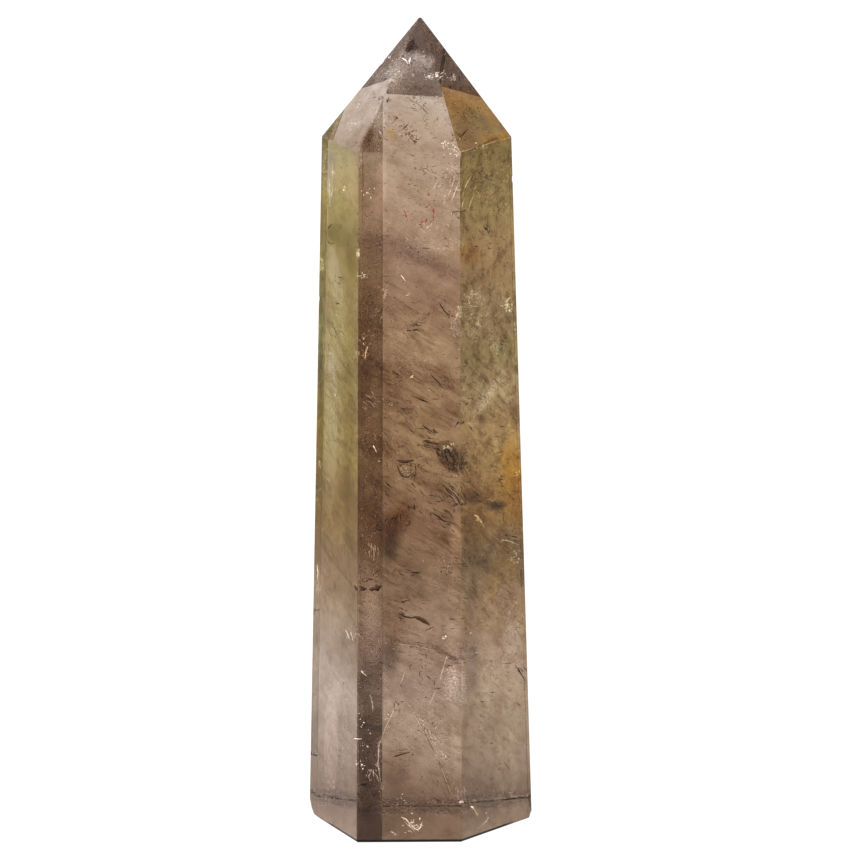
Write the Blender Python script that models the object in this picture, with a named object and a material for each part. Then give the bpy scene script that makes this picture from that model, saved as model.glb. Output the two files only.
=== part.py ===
"""Smoky quartz tower: one crystal, ground to a six-sided point and polished.

Metres, +Z up.  The tower stands on its flat sawn base with the origin at the middle of
the base's outline, and its broad front side looks along -Y.  It is one solid: a block is
cut by a plane for each side and each facet of the point, its edges are eased, and the
small chips are scooped out of it last.
"""

import math

import bmesh
import bpy
from mathutils import Matrix, Vector

MM = 0.001

# Driving dimensions.
HEIGHT = 200 * MM
SHOULDER_HEIGHT = 170 * MM
BLOCK_WIDTH = 90 * MM
TIP_WEAR = 0.45 * MM
BASE_CHAMFER = 0.45 * MM
EDGE_EASING = (0.15 * MM, 0.06 * MM)
SHARP_ANGLE = math.radians(12)
SHORTEST_EASED_EDGE = 0.5 * MM
SHORTEST_EDGE = 0.004 * MM

# Each side: where it looks, in degrees from -Y towards +X, and its distance from the axis
# at the base and at the shoulder.
SIDES = {
    "front": (1.0, 25.25 * MM, 19.53 * MM),
    "front_right": (52.3, 23.37 * MM, 19.30 * MM),
    "back_right": (114.1, 24.42 * MM, 19.08 * MM),
    "back": (180.9, 25.42 * MM, 20.29 * MM),
    "back_left": (232.6, 23.20 * MM, 19.65 * MM),
    "front_left": (293.8, 24.58 * MM, 21.52 * MM),
}

# Each facet of the point: where it looks and its slope from level, in degrees.  All six
# planes pass through the tip.
POINT_FACETS = {
    "point_front": (1.1, 57.4),
    "point_front_right": (49.8, 57.2),
    "point_back_right": (112.3, 56.3),
    "point_back": (178.2, 53.6),
    "point_back_left": (236.7, 55.1),
    "point_front_left": (295.7, 54.4),
}

# The base corner at the left is rubbed round, over this length and height.
RUBBED_CORNER = ("back_left", "front_left")
RUB_LENGTH = 2.6 * MM
RUB_HEIGHT = 6.2 * MM
RUB_CUTS = 4

# Each chip sits on the edge between two sides or two facets, at a height.  It is a scoop
# with a radius along the edge, a radius across it, and a depth below the edge.
CHIPS = {
    "shoulder_chip": ("front", "front_right", 169.6 * MM, 1.7 * MM, 1.3 * MM, 0.45 * MM),
    "shoulder_nick": ("front_left", "front", 166.3 * MM, 1.0 * MM, 0.6 * MM, 0.25 * MM),
    "left_nick": ("back_left", "front_left", 130.5 * MM, 0.9 * MM, 0.7 * MM, 0.30 * MM),
    "right_nick": ("front_right", "back_right", 160.5 * MM, 1.1 * MM, 0.7 * MM, 0.30 * MM),
    "low_edge_nick": ("front", "front_right", 6.0 * MM, 0.8 * MM, 0.5 * MM, 0.20 * MM),
    "back_edge_nick": ("back_right", "back", 58.0 * MM, 1.2 * MM, 0.8 * MM, 0.30 * MM),
    "base_chip": ("front_right", "back_right", 0.1 * MM, 1.7 * MM, 1.9 * MM, 0.75 * MM),
    "tip_nick": ("point_back_left", "point_front_left", 188.6 * MM, 0.9 * MM, 0.7 * MM, 0.25 * MM),
    "tip_chip": ("point_front_left", "point_front", 190.5 * MM, 0.6 * MM, 0.4 * MM, 0.15 * MM),
}
SCOOP_SUBDIVISIONS = 3

QUARTZ_COLOUR = (0.34, 0.24, 0.16, 1.0)
QUARTZ_IOR = 1.544


def remove_everything():
    """Start from an empty scene."""
    for thing in list(bpy.data.objects):
        bpy.data.objects.remove(thing, do_unlink=True)


def new_collection(name):
    """A collection in the scene."""
    collection = bpy.data.collections.new(name)
    bpy.context.scene.collection.children.link(collection)
    return collection


def direction(facing):
    """The level direction at an angle from -Y towards +X."""
    turn = math.radians(facing)
    return Vector((math.sin(turn), -math.cos(turn), 0))


def side_plane(facing, at_base, at_shoulder):
    """A point on a leaning side, and the side's normal."""
    outward = direction(facing)
    lean = math.atan2(at_base - at_shoulder, SHOULDER_HEIGHT)
    normal = outward * math.cos(lean) + Vector((0, 0, math.sin(lean)))
    return outward * at_base, normal


def point_plane(facing, slope):
    """The tip, and the normal of a facet that slopes down from it."""
    slope = math.radians(slope)
    normal = direction(facing) * math.sin(slope) + Vector((0, 0, math.cos(slope)))
    return Vector((0, 0, HEIGHT)), normal


def all_planes():
    """Every side and facet by name, each as a point and a normal."""
    planes = {name: side_plane(*side) for name, side in SIDES.items()}
    planes.update({name: point_plane(*facet) for name, facet in POINT_FACETS.items()})
    return planes


def cut(bm, point, normal):
    """Take away what lies in front of a plane, and close the cut with one flat face."""
    geometry = bm.verts[:] + bm.edges[:] + bm.faces[:]
    result = bmesh.ops.bisect_plane(
        bm, geom=geometry, plane_co=point, plane_no=normal, clear_outer=True
    )
    rim = [item for item in result["geom_cut"] if isinstance(item, bmesh.types.BMEdge)]
    if rim:
        bmesh.ops.contextual_create(bm, geom=rim)


def edge_point(planes, first, second, height):
    """The point at a height on the edge where two planes meet, and the way out of it."""
    (point_a, normal_a), (point_b, normal_b) = planes[first], planes[second]
    level = Vector((0, 0, 1))
    rows = Matrix((normal_a, normal_b, level))
    spot = rows.inverted() @ Vector((normal_a.dot(point_a), normal_b.dot(point_b), height))
    return spot, (normal_a + normal_b).normalized()


def sawn_block():
    """The rough block that the tower is cut from, standing on the base plane."""
    bm = bmesh.new()
    bmesh.ops.create_cube(bm, size=1)
    tall = 1.2 * HEIGHT
    scale = Matrix.Diagonal((BLOCK_WIDTH, BLOCK_WIDTH, tall, 1))
    bmesh.ops.transform(bm, matrix=Matrix.Translation((0, 0, tall / 2)) @ scale, verts=bm.verts)
    return bm


def rub_corner(bm, planes):
    """Round a base corner with cuts that follow a quarter ellipse."""
    corner, outward = edge_point(planes, *RUBBED_CORNER, 0)
    outward.z = 0
    outward.normalize()
    for step in range(RUB_CUTS):
        turn = math.radians(90) * (step + 0.5) / RUB_CUTS
        inward = RUB_LENGTH * (1 - math.cos(turn))
        up = RUB_HEIGHT * (1 - math.sin(turn))
        normal = outward * (math.cos(turn) / RUB_LENGTH)
        normal.z = -math.sin(turn) / RUB_HEIGHT
        cut(bm, corner - outward * inward + Vector((0, 0, up)), normal.normalized())


def chamfer_base(bm):
    """The narrow ground chamfer round the base."""
    edges = [edge for edge in bm.edges if all(abs(v.co.z) < 0.01 * MM for v in edge.verts)]
    bmesh.ops.bevel(bm, geom=edges, offset=BASE_CHAMFER, segments=1, affect="EDGES")


def sharp_edges(bm, width):
    """The half-way plane of each sharp edge, set back for a flat of this width."""
    planes = []
    for edge in bm.edges:
        turn = edge.calc_face_angle()
        if turn < SHARP_ANGLE or edge.calc_length() < SHORTEST_EASED_EDGE:
            continue
        normal = (edge.link_faces[0].normal + edge.link_faces[1].normal).normalized()
        set_back = width / 2 * math.tan(turn / 2)
        planes.append((edge.verts[0].co - normal * set_back, normal))
    return planes


def ease_edges(bm):
    """Take the sharpness off every edge, as polishing does, in narrowing flats."""
    for width in EDGE_EASING:
        bm.normal_update()
        for point, normal in sharp_edges(bm, width):
            cut(bm, point, normal)
    bmesh.ops.dissolve_degenerate(bm, dist=SHORTEST_EDGE, edges=bm.edges)


def centre_on_base(mesh):
    """Put the origin under the middle of the outline."""
    across = [vertex.co.x for vertex in mesh.vertices]
    deep = [vertex.co.y for vertex in mesh.vertices]
    middle = Vector(((min(across) + max(across)) / 2, (min(deep) + max(deep)) / 2, 0))
    mesh.transform(Matrix.Translation(-middle))
    return middle


def quartz_material():
    """Clear brown quartz with a polished surface."""
    material = bpy.data.materials.new("quartz")
    material.use_nodes = True
    shader = material.node_tree.nodes["Principled BSDF"]
    shader.inputs["Base Color"].default_value = QUARTZ_COLOUR
    shader.inputs["Metallic"].default_value = 0.0
    shader.inputs["Roughness"].default_value = 0.05
    shader.inputs["IOR"].default_value = QUARTZ_IOR
    shader.inputs["Transmission Weight"].default_value = 1.0
    return material


def tower(collection, planes):
    """The cut crystal with its edges eased, centred on its base."""
    bm = sawn_block()
    for point, normal in planes.values():
        cut(bm, point, normal)
    cut(bm, Vector((0, 0, HEIGHT - TIP_WEAR)), Vector((0, 0, 1)))
    rub_corner(bm, planes)
    chamfer_base(bm)
    ease_edges(bm)
    mesh = bpy.data.meshes.new("quartz_tower")
    bm.to_mesh(mesh)
    bm.free()
    middle = centre_on_base(mesh)
    crystal = bpy.data.objects.new("quartz_tower", mesh)
    crystal.data.materials.append(quartz_material())
    collection.objects.link(crystal)
    return crystal, middle


def scoop(name, collection, planes, middle, chip):
    """The shell-shaped cutter of one chip: a ball flattened onto its edge."""
    first, second, height, along, across, depth = chip
    spot, outward = edge_point(planes, first, second, height)
    edge = planes[first][1].cross(planes[second][1]).normalized()
    sideways = outward.cross(edge)
    radius = (across * across + depth * depth) / (2 * depth)
    stretch = along / across
    bm = bmesh.new()
    bmesh.ops.create_icosphere(bm, subdivisions=SCOOP_SUBDIVISIONS, radius=radius)
    frame = Matrix((edge * stretch, sideways, outward)).transposed().to_4x4()
    centre = spot - middle + outward * (radius - depth)
    bmesh.ops.transform(bm, matrix=Matrix.Translation(centre) @ frame, verts=bm.verts)
    mesh = bpy.data.meshes.new(name)
    bm.to_mesh(mesh)
    bm.free()
    cutter = bpy.data.objects.new(name, mesh)
    cutter.hide_render = True
    cutter.display_type = "WIRE"
    collection.objects.link(cutter)


def chip_edges(crystal, cutters, planes, middle):
    """Scoop the chips out of the crystal."""
    for name, chip in CHIPS.items():
        scoop(name, cutters, planes, middle, chip)
    boolean = crystal.modifiers.new("chips", "BOOLEAN")
    boolean.operand_type = "COLLECTION"
    boolean.collection = cutters
    boolean.operation = "DIFFERENCE"
    boolean.solver = "EXACT"


def build():
    """Model the tower."""
    remove_everything()
    parts = new_collection("smoky_quartz_tower")
    cutters = new_collection("cutters")
    planes = all_planes()
    crystal, middle = tower(parts, planes)
    chip_edges(crystal, cutters, planes, middle)


build()
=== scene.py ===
"""Looks of the smoky quartz tower: clear brown stone, what is caught inside it, light and camera.

What lies inside the stone is placed by the spot of the photograph where it is seen and by
its depth below the polished surface, along the line of sight bent by the stone.
"""

import math

import bpy
import numpy as np
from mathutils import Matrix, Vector


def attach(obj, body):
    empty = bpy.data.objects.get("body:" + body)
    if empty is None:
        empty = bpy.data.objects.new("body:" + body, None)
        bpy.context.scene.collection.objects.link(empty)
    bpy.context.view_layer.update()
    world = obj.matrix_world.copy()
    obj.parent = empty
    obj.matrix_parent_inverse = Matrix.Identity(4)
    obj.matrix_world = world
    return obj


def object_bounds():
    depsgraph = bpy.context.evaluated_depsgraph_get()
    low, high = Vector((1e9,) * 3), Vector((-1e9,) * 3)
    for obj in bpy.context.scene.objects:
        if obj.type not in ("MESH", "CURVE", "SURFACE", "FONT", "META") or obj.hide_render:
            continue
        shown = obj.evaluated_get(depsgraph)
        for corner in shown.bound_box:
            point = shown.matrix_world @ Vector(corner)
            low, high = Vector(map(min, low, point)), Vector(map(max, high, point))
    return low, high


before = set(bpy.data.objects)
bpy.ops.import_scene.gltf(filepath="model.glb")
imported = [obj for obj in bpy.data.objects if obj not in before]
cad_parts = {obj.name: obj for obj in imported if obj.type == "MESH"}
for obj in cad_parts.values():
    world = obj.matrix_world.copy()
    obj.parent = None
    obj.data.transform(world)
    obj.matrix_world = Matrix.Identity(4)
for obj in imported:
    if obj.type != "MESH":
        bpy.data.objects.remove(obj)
CAD_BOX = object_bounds()

MM = 0.001
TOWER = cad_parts["quartz_tower"]
TOWER_HEIGHT = CAD_BOX[1].z
# Faces larger than this bound the stone; the ground edges between them are left out.
BIG_FACE = 60 * MM * MM

# The photograph's size, lens and point of view. Four of its pixels span a millimetre.
PHOTO_WIDTH, PHOTO_HEIGHT = 856, 857
PIXELS_PER_MM = 4
SENSOR_MM = 36
LENS_MM = 213.7
FOCAL_PX = LENS_MM / SENSOR_MM * PHOTO_HEIGHT
CAMERA_DISTANCE = 1250 * MM
CAMERA_ELEVATION = math.radians(10.96)
CAMERA_CENTRE_HEIGHT = 100 * MM
AIM_RIGHT = 1.905 * MM
AIM_DOWN = 1.696 * MM
CLIP_NEAR, CLIP_FAR = 0.05, 50
ALMOST_LEVEL = 0.01 * MM

FLOOR_HALF_WIDTH = 3.0
FLOOR_GAP = 0.2 * MM
ROOM_LIGHT = 1.25
MIRRORED_LIGHT = 0.3
# Soft lamps: place, size and power.
SOFTBOXES = {"key": ((-0.7, -1.0, 0.9), 0.7, 70), "fill": ((0.9, 0.7, 0.5), 0.7, 35)}

# Dull opaque materials: colour and roughness.
DULL = {
    "floor": ((0.9, 0.9, 0.9), 0.9),
    "dark_mineral": ((0.068, 0.038, 0.021), 0.6),
    "smoke": ((0.20, 0.13, 0.09), 0.8),
    "pale_veil": ((0.56, 0.49, 0.44), 0.7),
    "glint": ((0.95, 0.94, 0.92), 0.6),
    "iron_stain": ((0.50, 0.31, 0.05), 0.7),
    "red_mineral": ((0.24, 0.05, 0.04), 0.6),
}

# Quartz: the absorption takes 6, 7.2 and 8.4 per metre out of red, green and blue.
QUARTZ_IOR = 1.544
QUARTZ_ABSORPTION = (0.70, 0.64, 0.58)
QUARTZ_DENSITY = 20

# Colour zones: heights in mm and what a face lets through there. They dip to the right
# and swing up and down.
# These tints and those of the clouds were set in rounds, from mean colours measured in the
# photograph and in renders.
ZONE_DIP = 0.15
ZONE_SWING = 7 * MM
ZONE_NOISE = {"Scale": 45, "Detail": 4}
SMOKE = (
    (0, (0.47, 0.38, 0.31)), (5, (0.54, 0.44, 0.36)), (9, (0.57, 0.47, 0.39)), (15, (0.68, 0.58, 0.50)),
    (30, (0.81, 0.72, 0.64)), (38, (0.66, 0.56, 0.50)), (48, (0.73, 0.62, 0.53)), (62, (0.61, 0.50, 0.40)),
    (76, (0.60, 0.47, 0.35)), (92, (0.70, 0.57, 0.42)), (112, (0.65, 0.52, 0.39)), (121, (0.77, 0.64, 0.50)),
    (130, (0.67, 0.54, 0.42)), (141, (0.68, 0.56, 0.46)), (149, (0.77, 0.66, 0.55)),
    (166, (0.78, 0.68, 0.59)), (173, (0.85, 0.77, 0.70)), (183, (0.85, 0.80, 0.76)),
    (188, (0.78, 0.73, 0.72)), (194, (0.52, 0.48, 0.47)),
)
# Faces with zones of their own: which way they face and how far up, in degrees (0 is the
# front), then heights and what they let through.
FACE_ZONES = {
    "left": (293.8, 0, (
        (10, (0.79, 0.72, 0.70)), (32, (0.94, 0.89, 0.89)), (47, (0.78, 0.70, 0.60)),
        (60, (0.65, 0.53, 0.37)), (78, (0.65, 0.54, 0.22)), (95, (0.77, 0.74, 0.33)),
        (115, (0.81, 0.80, 0.44)), (135, (0.77, 0.75, 0.36)), (145, (0.61, 0.55, 0.20)),
        (152, (0.65, 0.60, 0.24)), (157, (0.82, 0.76, 0.39)), (170, (0.68, 0.66, 0.42)))),
    "right": (52.3, 0, (
        (10, (0.64, 0.57, 0.51)), (30, (0.70, 0.61, 0.51)), (45, (0.86, 0.76, 0.63)),
        (58, (0.68, 0.56, 0.38)), (72, (0.44, 0.37, 0.24)), (85, (0.72, 0.55, 0.26)),
        (100, (0.80, 0.68, 0.41)), (115, (0.86, 0.83, 0.58)), (122, (0.59, 0.55, 0.31)),
        (132, (0.62, 0.55, 0.35)), (145, (0.68, 0.56, 0.32)), (156, (0.53, 0.45, 0.21)),
        (168, (0.44, 0.36, 0.15)))),
    # Dark tints on the back-right face make the dark strip seen through the front: painted shade.
    "back_right": (114.1, 0, (
        (12, (0.24, 0.19, 0.18)), (19, (0.22, 0.17, 0.16)), (25, (0.46, 0.38, 0.35)),
        (31, (0.28, 0.22, 0.20)), (42, (0.80, 0.70, 0.67)), (54, (0.72, 0.60, 0.48)),
        (63, (0.41, 0.28, 0.17)), (75, (0.33, 0.22, 0.12)), (100, (0.37, 0.26, 0.15)),
        (117, (0.35, 0.25, 0.16)), (135, (0.47, 0.35, 0.23)), (150, (0.64, 0.51, 0.38)),
        (168, (0.74, 0.64, 0.54)))),
    "point_right": (49.8, 32.8, (
        (168, (0.50, 0.34, 0.17)), (174, (0.46, 0.35, 0.165)), (180, (0.53, 0.355, 0.12)),
        (184, (0.50, 0.32, 0.14)), (188, (0.62, 0.54, 0.50)))),
    # Light tints on the point's left facet: a painted soft reflection.
    "point_left": (295.7, 35.6, (
        (168, (0.84, 0.76, 0.72)), (174, (0.98, 0.93, 0.92)), (182, (1.0, 0.97, 0.98)),
        (190, (0.85, 0.79, 0.76)))),
}
# How near a face its own colour starts, and where it is full.
FACE_RIM, FACE_RIM_FULL = 0.012 * MM, 0.004 * MM
STRAIGHT_DOWN = -90

# The base, and a painted contact shadow: the dark line in front where the stone meets the ground.
BASE_TINT = (0.92, 0.90, 0.95)
CONTACT_SHADOW_TINT = (0.05, 0.03, 0.025)
CONTACT_SHADOW_LINE_FULL, CONTACT_SHADOW_LINE = 0.675 * MM, 0.9 * MM
CONTACT_SHADOW_AHEAD, CONTACT_SHADOW_AHEAD_FULL = -8 * MM, -11 * MM

# Fine grain in the colour, weaker on the left face by this share.
LEFT_CALM = 0.6
MOTTLE_NOISE = {"Scale": 140, "Detail": 9, "Roughness": 0.68}
MOTTLE = ((0.30, (0.80, 0.76, 0.72)), (0.62, (1.0, 1.0, 1.0)))
# Crackle on the right face, growing between two heights.
CRACKLE_NOISE = {"Scale": 330, "Detail": 7, "Roughness": 0.7}
CRACKLE = ((0.38, (0.58, 0.53, 0.46)), (0.50, (0.92, 0.91, 0.90)), (0.60, (1.0, 1.0, 1.0)))
CRACKLE_LOW, CRACKLE_HIGH = 45 * MM, 115 * MM
# Smoke drawn out in fine streaks: the way they run, how much longer than wide they are,
# the patches they come in, and how strongly they show by height in mm.
STREAK_WAY = (0.80, 0.25, -0.50)
STREAK_STRETCH = 7
STREAK_NOISE = {"Scale": 420, "Detail": 5, "Roughness": 0.62, "Distortion": 0.6}
STREAKS = ((0.34, (0.55, 0.46, 0.38)), (0.47, (0.86, 0.82, 0.79)), (0.60, (1.0, 1.0, 1.0)))
PATCH_NOISE = {"Scale": 90, "Detail": 2}
STREAK_PATCHES = ((0.36, (0.4,) * 3), (0.56, (1.0,) * 3))
STREAK_STRENGTH = (
    (0, (0.35,) * 3), (40, (0.5,) * 3), (65, (0.85,) * 3), (120, (1.0,) * 3), (140, (0.35,) * 3))

# Soft clouds of colour: where each is seen and how deep in mm, its half length and half
# width in mm, its slope in degrees (down to the right), and what it lets through. The
# heart, a share of the way to the rim, has the full tint. Each ends this far behind and
# before its spot.
CLOUD_HEART = 0.2
CLOUD_DEPTH = 9 * MM
CLOUDS = {
    # These two lighten the point's left facets: a painted soft reflection.
    "point_left_light": ((396, 87), 0, 3.4, 2, -70, (1.18, 1.16, 1.12)),
    "facet_left_reflection": ((336, 118), 0, 9, 3, -60, (1.05, 1.12, 1.2)),
    "facet_rim": ((497, 132), 0, 6, 1.3, 55, (1.14, 1.24, 1.3)),
    "facet_grey": ((477, 116), 0, 4.2, 2.1, 30, (0.78, 0.9, 1.06)),
    "point_shade": ((424, 90), 0, 5.5, 2, 5, (0.76, 0.71, 0.71)),
    "point_side": ((447, 68), 0, 11, 4.6, 52, (0.9, 0.85, 0.8)),
    "point_haze": ((397, 66), 0, 6, 3, -55, (1.3, 1.36, 1.4)),
    "point_haze_b": ((421, 62), 0, 5, 2.6, 10, (1.26, 1.32, 1.36)),
    "point_clear": ((379, 118), 0, 8, 2.4, 105, (1.25, 1.4, 1.55)),
    "point_low": ((466, 130), 0, 5, 3, 60, (0.8, 0.74, 0.7)),
    "triangle": ((369, 136), 0, 4, 1.8, 118, (0.52, 0.43, 0.32)),
    "triangle_low": ((367, 143), 0, 3, 2.4, 90, (0.84, 0.8, 0.76)),
    "left_gap": ((329, 322), 0, 3.4, 1.9, 90, (0.74, 0.76, 0.68)),
    "left_gap_b": ((330, 237), 0, 3.2, 1.8, 90, (0.84, 0.86, 0.78)),
    "left_dusk": ((345, 488), 0, 10, 3, 90, (0.86, 0.79, 0.58)),
    "left_dusk_b": ((347, 268), 0, 6, 3, 90, (0.92, 0.9, 0.8)),
    "left_bands": ((343, 350), 0, 12, 1, 62, (0.84, 0.82, 0.72)),
    "left_bands_b": ((337, 410), 0, 10, 0.8, 66, (0.88, 0.86, 0.78)),
    "olive_side": ((350, 400), 0, 50, 3, 90, (0.76, 0.71, 0.42)),
    "olive_upper": ((352, 262), 0, 8, 2.6, 78, (0.74, 0.72, 0.42)),
    "margin": ((321, 385), 0, 36, 1.3, 90, (0.68, 0.72, 0.52)),
    "margin_upper": ((325, 192), 0, 15, 1.2, 91, (1.5, 1.6, 2.1)),
    "margin_dusk": ((321, 375), 0, 15, 1.1, 91, (0.62, 0.57, 0.54)),
    "margin_low": ((314.5, 690), 0, 17, 0.9, 91, (1.2, 1.28, 1.38)),
    "strip_left_high": ((362, 190), 0, 12, 1.6, 90, (0.9, 0.86, 0.78)),
    "strip_upper": ((364, 350), 0, 22, 2.8, 90, (0.7, 0.6, 0.48)),
    "strip_clear": ((379, 192), 0, 13, 2.2, 97, (1.24, 1.26, 1.3)),
    "strip_waist": ((369, 513), 0, 5.5, 4, 90, (0.78, 0.69, 0.58)),
    "strip_pale": ((371, 597), 0, 7, 2.4, 90, (1.25, 1.28, 1.34)),
    "strip_dusk": ((370, 648), 0, 4.5, 3.4, 0, (0.84, 0.8, 0.78)),
    "strip_light": ((370, 678), 0, 4.5, 2.6, 0, (1.16, 1.18, 1.18)),
    "strip_knee": ((370, 700), 0, 4.5, 2.6, 0, (0.78, 0.74, 0.73)),
    "strip_low": ((368, 744), 0, 15, 3, 90, (0.75, 0.7, 0.69)),
    "strip_foot": ((369, 800), 0, 11, 4, 90, (0.56, 0.5, 0.48)),
    "strip_blend": ((387, 400), 0, 32, 1.6, 90, (0.86, 0.83, 0.8)),
    "strip_blend_b": ((377, 440), 0, 24, 1.1, 90, (1.12, 1.14, 1.16)),
    "strip_blend_c": ((387, 590), 0, 18, 1.5, 90, (0.88, 0.86, 0.84)),
    "mauve_band": ((400, 250), 0, 16, 3.6, 17, (0.68, 0.61, 0.62)),
    "mauve_tail": ((447, 272), 0, 9, 2.2, 20, (0.86, 0.8, 0.84)),
    "centre_left": ((390, 546), 0, 6, 3.4, 90, (0.44, 0.39, 0.36)),
    "centre_left_a": ((388, 482), 0, 4.5, 3, 90, (0.83, 0.8, 0.77)),
    "centre_left_b": ((390, 282), 0, 4, 3, 90, (0.88, 0.87, 0.9)),
    "centre_right_a": ((457, 425), 0, 6, 2.2, 90, (1.2, 1.24, 1.28)),
    "centre_right_b": ((457, 752), 0, 13, 2.2, 90, (1.16, 1.2, 1.22)),
    "centre_clear": ((426, 405), 0, 23, 6, 90, (1.13, 1.15, 1.14)),
    "centre_dusk": ((394, 370), 0, 8, 3.4, 20, (0.8, 0.77, 0.72)),
    "centre_dusk_b": ((403, 407), 0, 6, 2.4, 20, (0.82, 0.78, 0.74)),
    "centre_dusk_c": ((450, 380), 0, 7, 2.6, 50, (0.86, 0.83, 0.8)),
    "centre_smoke": ((416, 584), 0, 6, 4, 60, (0.76, 0.73, 0.7)),
    "centre_low": ((394, 620), 0, 13, 6, 90, (0.78, 0.71, 0.65)),
    "centre_base": ((390, 658), 0, 7, 3.4, 90, (0.5, 0.47, 0.46)),
    "brown_blotch": ((396, 522), 0, 9, 5, -55, (0.5, 0.36, 0.26)),
    "pink_cloud": ((452, 684), 0, 5.5, 2.2, 105, (1.16, 1.17, 1.19)),
    "smudge": ((496, 505.5), 0, 4.6, 1.7, 8, (0.34, 0.33, 0.4)),
    "smudge_fan": ((474, 497), 0, 5, 2.4, 20, (0.66, 0.62, 0.58)),
    "smudge_shade": ((474, 528), 0, 8, 6, 60, (0.76, 0.71, 0.64)),
    "fan_light": ((457, 538), 0, 8, 2.6, 90, (1.42, 1.47, 1.52)),
    "comb_shade": ((452, 500), 0, 6, 3, 40, (0.78, 0.75, 0.73)),
    "right_clear": ((453, 630), 0, 30, 2.8, 90, (1.22, 1.27, 1.3)),
    "right_clear_a": ((512, 350), 0, 5, 4, 90, (1.13, 1.17, 1.2)),
    "right_clear_b": ((512, 560), 0, 6, 4, 90, (1.14, 1.13, 1.11)),
    "right_blue": ((505, 470), 0, 14, 6, 90, (1.08, 1.13, 1.21)),
    "right_blue_low": ((512, 628), 0, 6, 4, 90, (1.08, 1.16, 1.28)),
    "right_dusk": ((470, 490), 0, 13, 3.4, 88, (0.82, 0.8, 0.8)),
    "right_dusk_b": ((470, 690), 0, 10, 3.4, 90, (0.84, 0.84, 0.84)),
    "right_middle": ((472, 640), 0, 13, 4, 90, (0.8, 0.78, 0.82)),
    "right_low": ((472, 672), 0, 8, 4, 80, (0.8, 0.76, 0.76)),
    "right_edge": ((513, 640), 0, 5, 4, 90, (1.22, 1.3, 1.42)),
    "right_band": ((471, 602), 0, 8, 2.6, 92, (0.8, 0.79, 0.82)),
    "right_gold": ((495, 575), 0, 9, 2.6, 100, (1.14, 1.1, 0.86)),
    "right_orange": ((470, 254), 0, 5, 4, 40, (0.9, 0.72, 0.5)),
    "amber_side": ((512, 470), 0, 15, 7, 90, (1, 0.84, 0.4)),
    "right_foot": ((508, 752), 0, 14, 6, 90, (1.13, 1.18, 1.18)),
    # The next four paint the soft shade along the far edge of the base, lighter in places.
    "foot_pale": ((331, 801), -0.2, 4.5, 1.8, 5, (1.18, 1.2, 1.22)),
    "foot_far": ((425, 797), 44, 30, 3, 0, (0.55, 0.46, 0.42)),
    "foot_band": ((425, 801), -0.2, 24, 1.4, 0, (0.72, 0.68, 0.7)),
    "foot_band_left": ((338, 791), -0.2, 9, 1.7, 8, (0.97, 0.94, 0.97)),
    "foot_left": ((396, 772), 0, 9, 4, 90, (0.8, 0.74, 0.7)),
}
# The same with a clear rim.
PANE_HEART = 0.8
PANES = {
    # On the point: darker and lighter wedges and facets are painted facet shading, and a light line along a
    # ridge is a painted highlight.
    "point_wedge": ((410.5, 46), 0, 1.9, 0.85, -58, (0.4, 0.34, 0.3)),
    "point_wedge_b": ((413, 47.8), 0, 1.7, 0.65, -8, (0.66, 0.58, 0.54)),
    "point_ridge_highlight": ((428, 46), 0, 4.9, 0.28, 77, (1.3, 1.3, 1.3)),
    "point_facet_dark": ((435.5, 45), 0, 5.6, 1.6, 58, (0.86, 0.79, 0.74)),
    "point_facet": ((420, 37), 0, 4.4, 1.5, 76, (1.12, 1.1, 1.08)),
    "shoulder_line": ((483, 144.3), 0, 6, 0.26, -16, (0.6, 0.52, 0.4)),
    "left_lens": ((335, 276), 0, 9, 1.9, 78, (1.16, 1.23, 1.64)),
    "left_lens_low": ((331, 432), 0, 23, 1.95, 91, (1.12, 1.19, 1.62)),
    "left_olive": ((339, 235), 0, 5, 3.1, 8, (0.8, 0.82, 0.62)),
    "left_clear": ((331, 180), 0, 8, 1.3, 90, (0.93, 0.96, 1.22)),
    # A lighter arch low on the left face: a painted soft reflection.
    "left_arch_reflection": ((331, 746), 0, 15, 2.3, 91, (1.16, 1.15, 1.16)),
    # Painted shade: a dark line along the strip's edge that dims the bright edge seen through the stone.
    "strip_edge": ((382.6, 470), 0, 78, 0.24, 90, (0.8, 0.77, 0.74)),
    "cluster": ((449, 457), 0, 5, 2.8, 55, (0.52, 0.48, 0.43)),
    "band_glow": ((424, 250), 0, 4.5, 1.7, 10, (1.08, 1.12, 1.18)),
}

# What lies inside keeps this far below the faces, and what is strewn evenly further still.
SKIN = 0.25 * MM
LOOSE_SKIN = 1.0 * MM
# Flakes: thickness as a share of the width, and how much their sizes differ.
FLAKE_THICKNESS = 0.12
FLAKE_SPREAD = 0.45
FLAKE_FACES = np.array([(0, 2, 1), (0, 1, 3), (0, 3, 2), (1, 2, 3)])
# Slivers: pixels from ring to ring, fewest and most rings, corners and flatness of a ring,
# how lumpy they are, where along them they are thickest, what is left at the ends, and a
# direction that none runs along.
RING_PIXELS = 2
FEWEST_RINGS, MOST_RINGS = 5, 20
TUBE_SIDES, TUBE_FLATNESS = 5, 0.6
LUMPS, LEAST_LUMP, MOST_LUMP = 0.3, 0.5, 1.6
HEAD, THIN_END = 0.35, 0.02
ASKEW = (0.3, 0.8, 0.52)
# How much the slivers of a knot differ: length, width, bend, depth and slant in mm.
KNOT_LENGTHS, KNOT_WIDTHS, KNOT_BENDS = 0.35, 0.3, 0.35
KNOT_DEPTH, KNOT_SLANT = 0.8, 0.4

SEED = 17
rng = np.random.default_rng(SEED)
# Crossed waves that gather fine things in patches: more turns make the patches smaller,
# and more softness evens them out.
PATCH_WAVES = rng.normal(size=(7, 3))
PATCH_PHASES = rng.uniform(0, 2 * np.pi, 7)
PATCH_TURNS = 2.2
PATCH_SOFTNESS = 4
PATCH_SIZE = 5 * MM


# ------------ camera and studio


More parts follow.
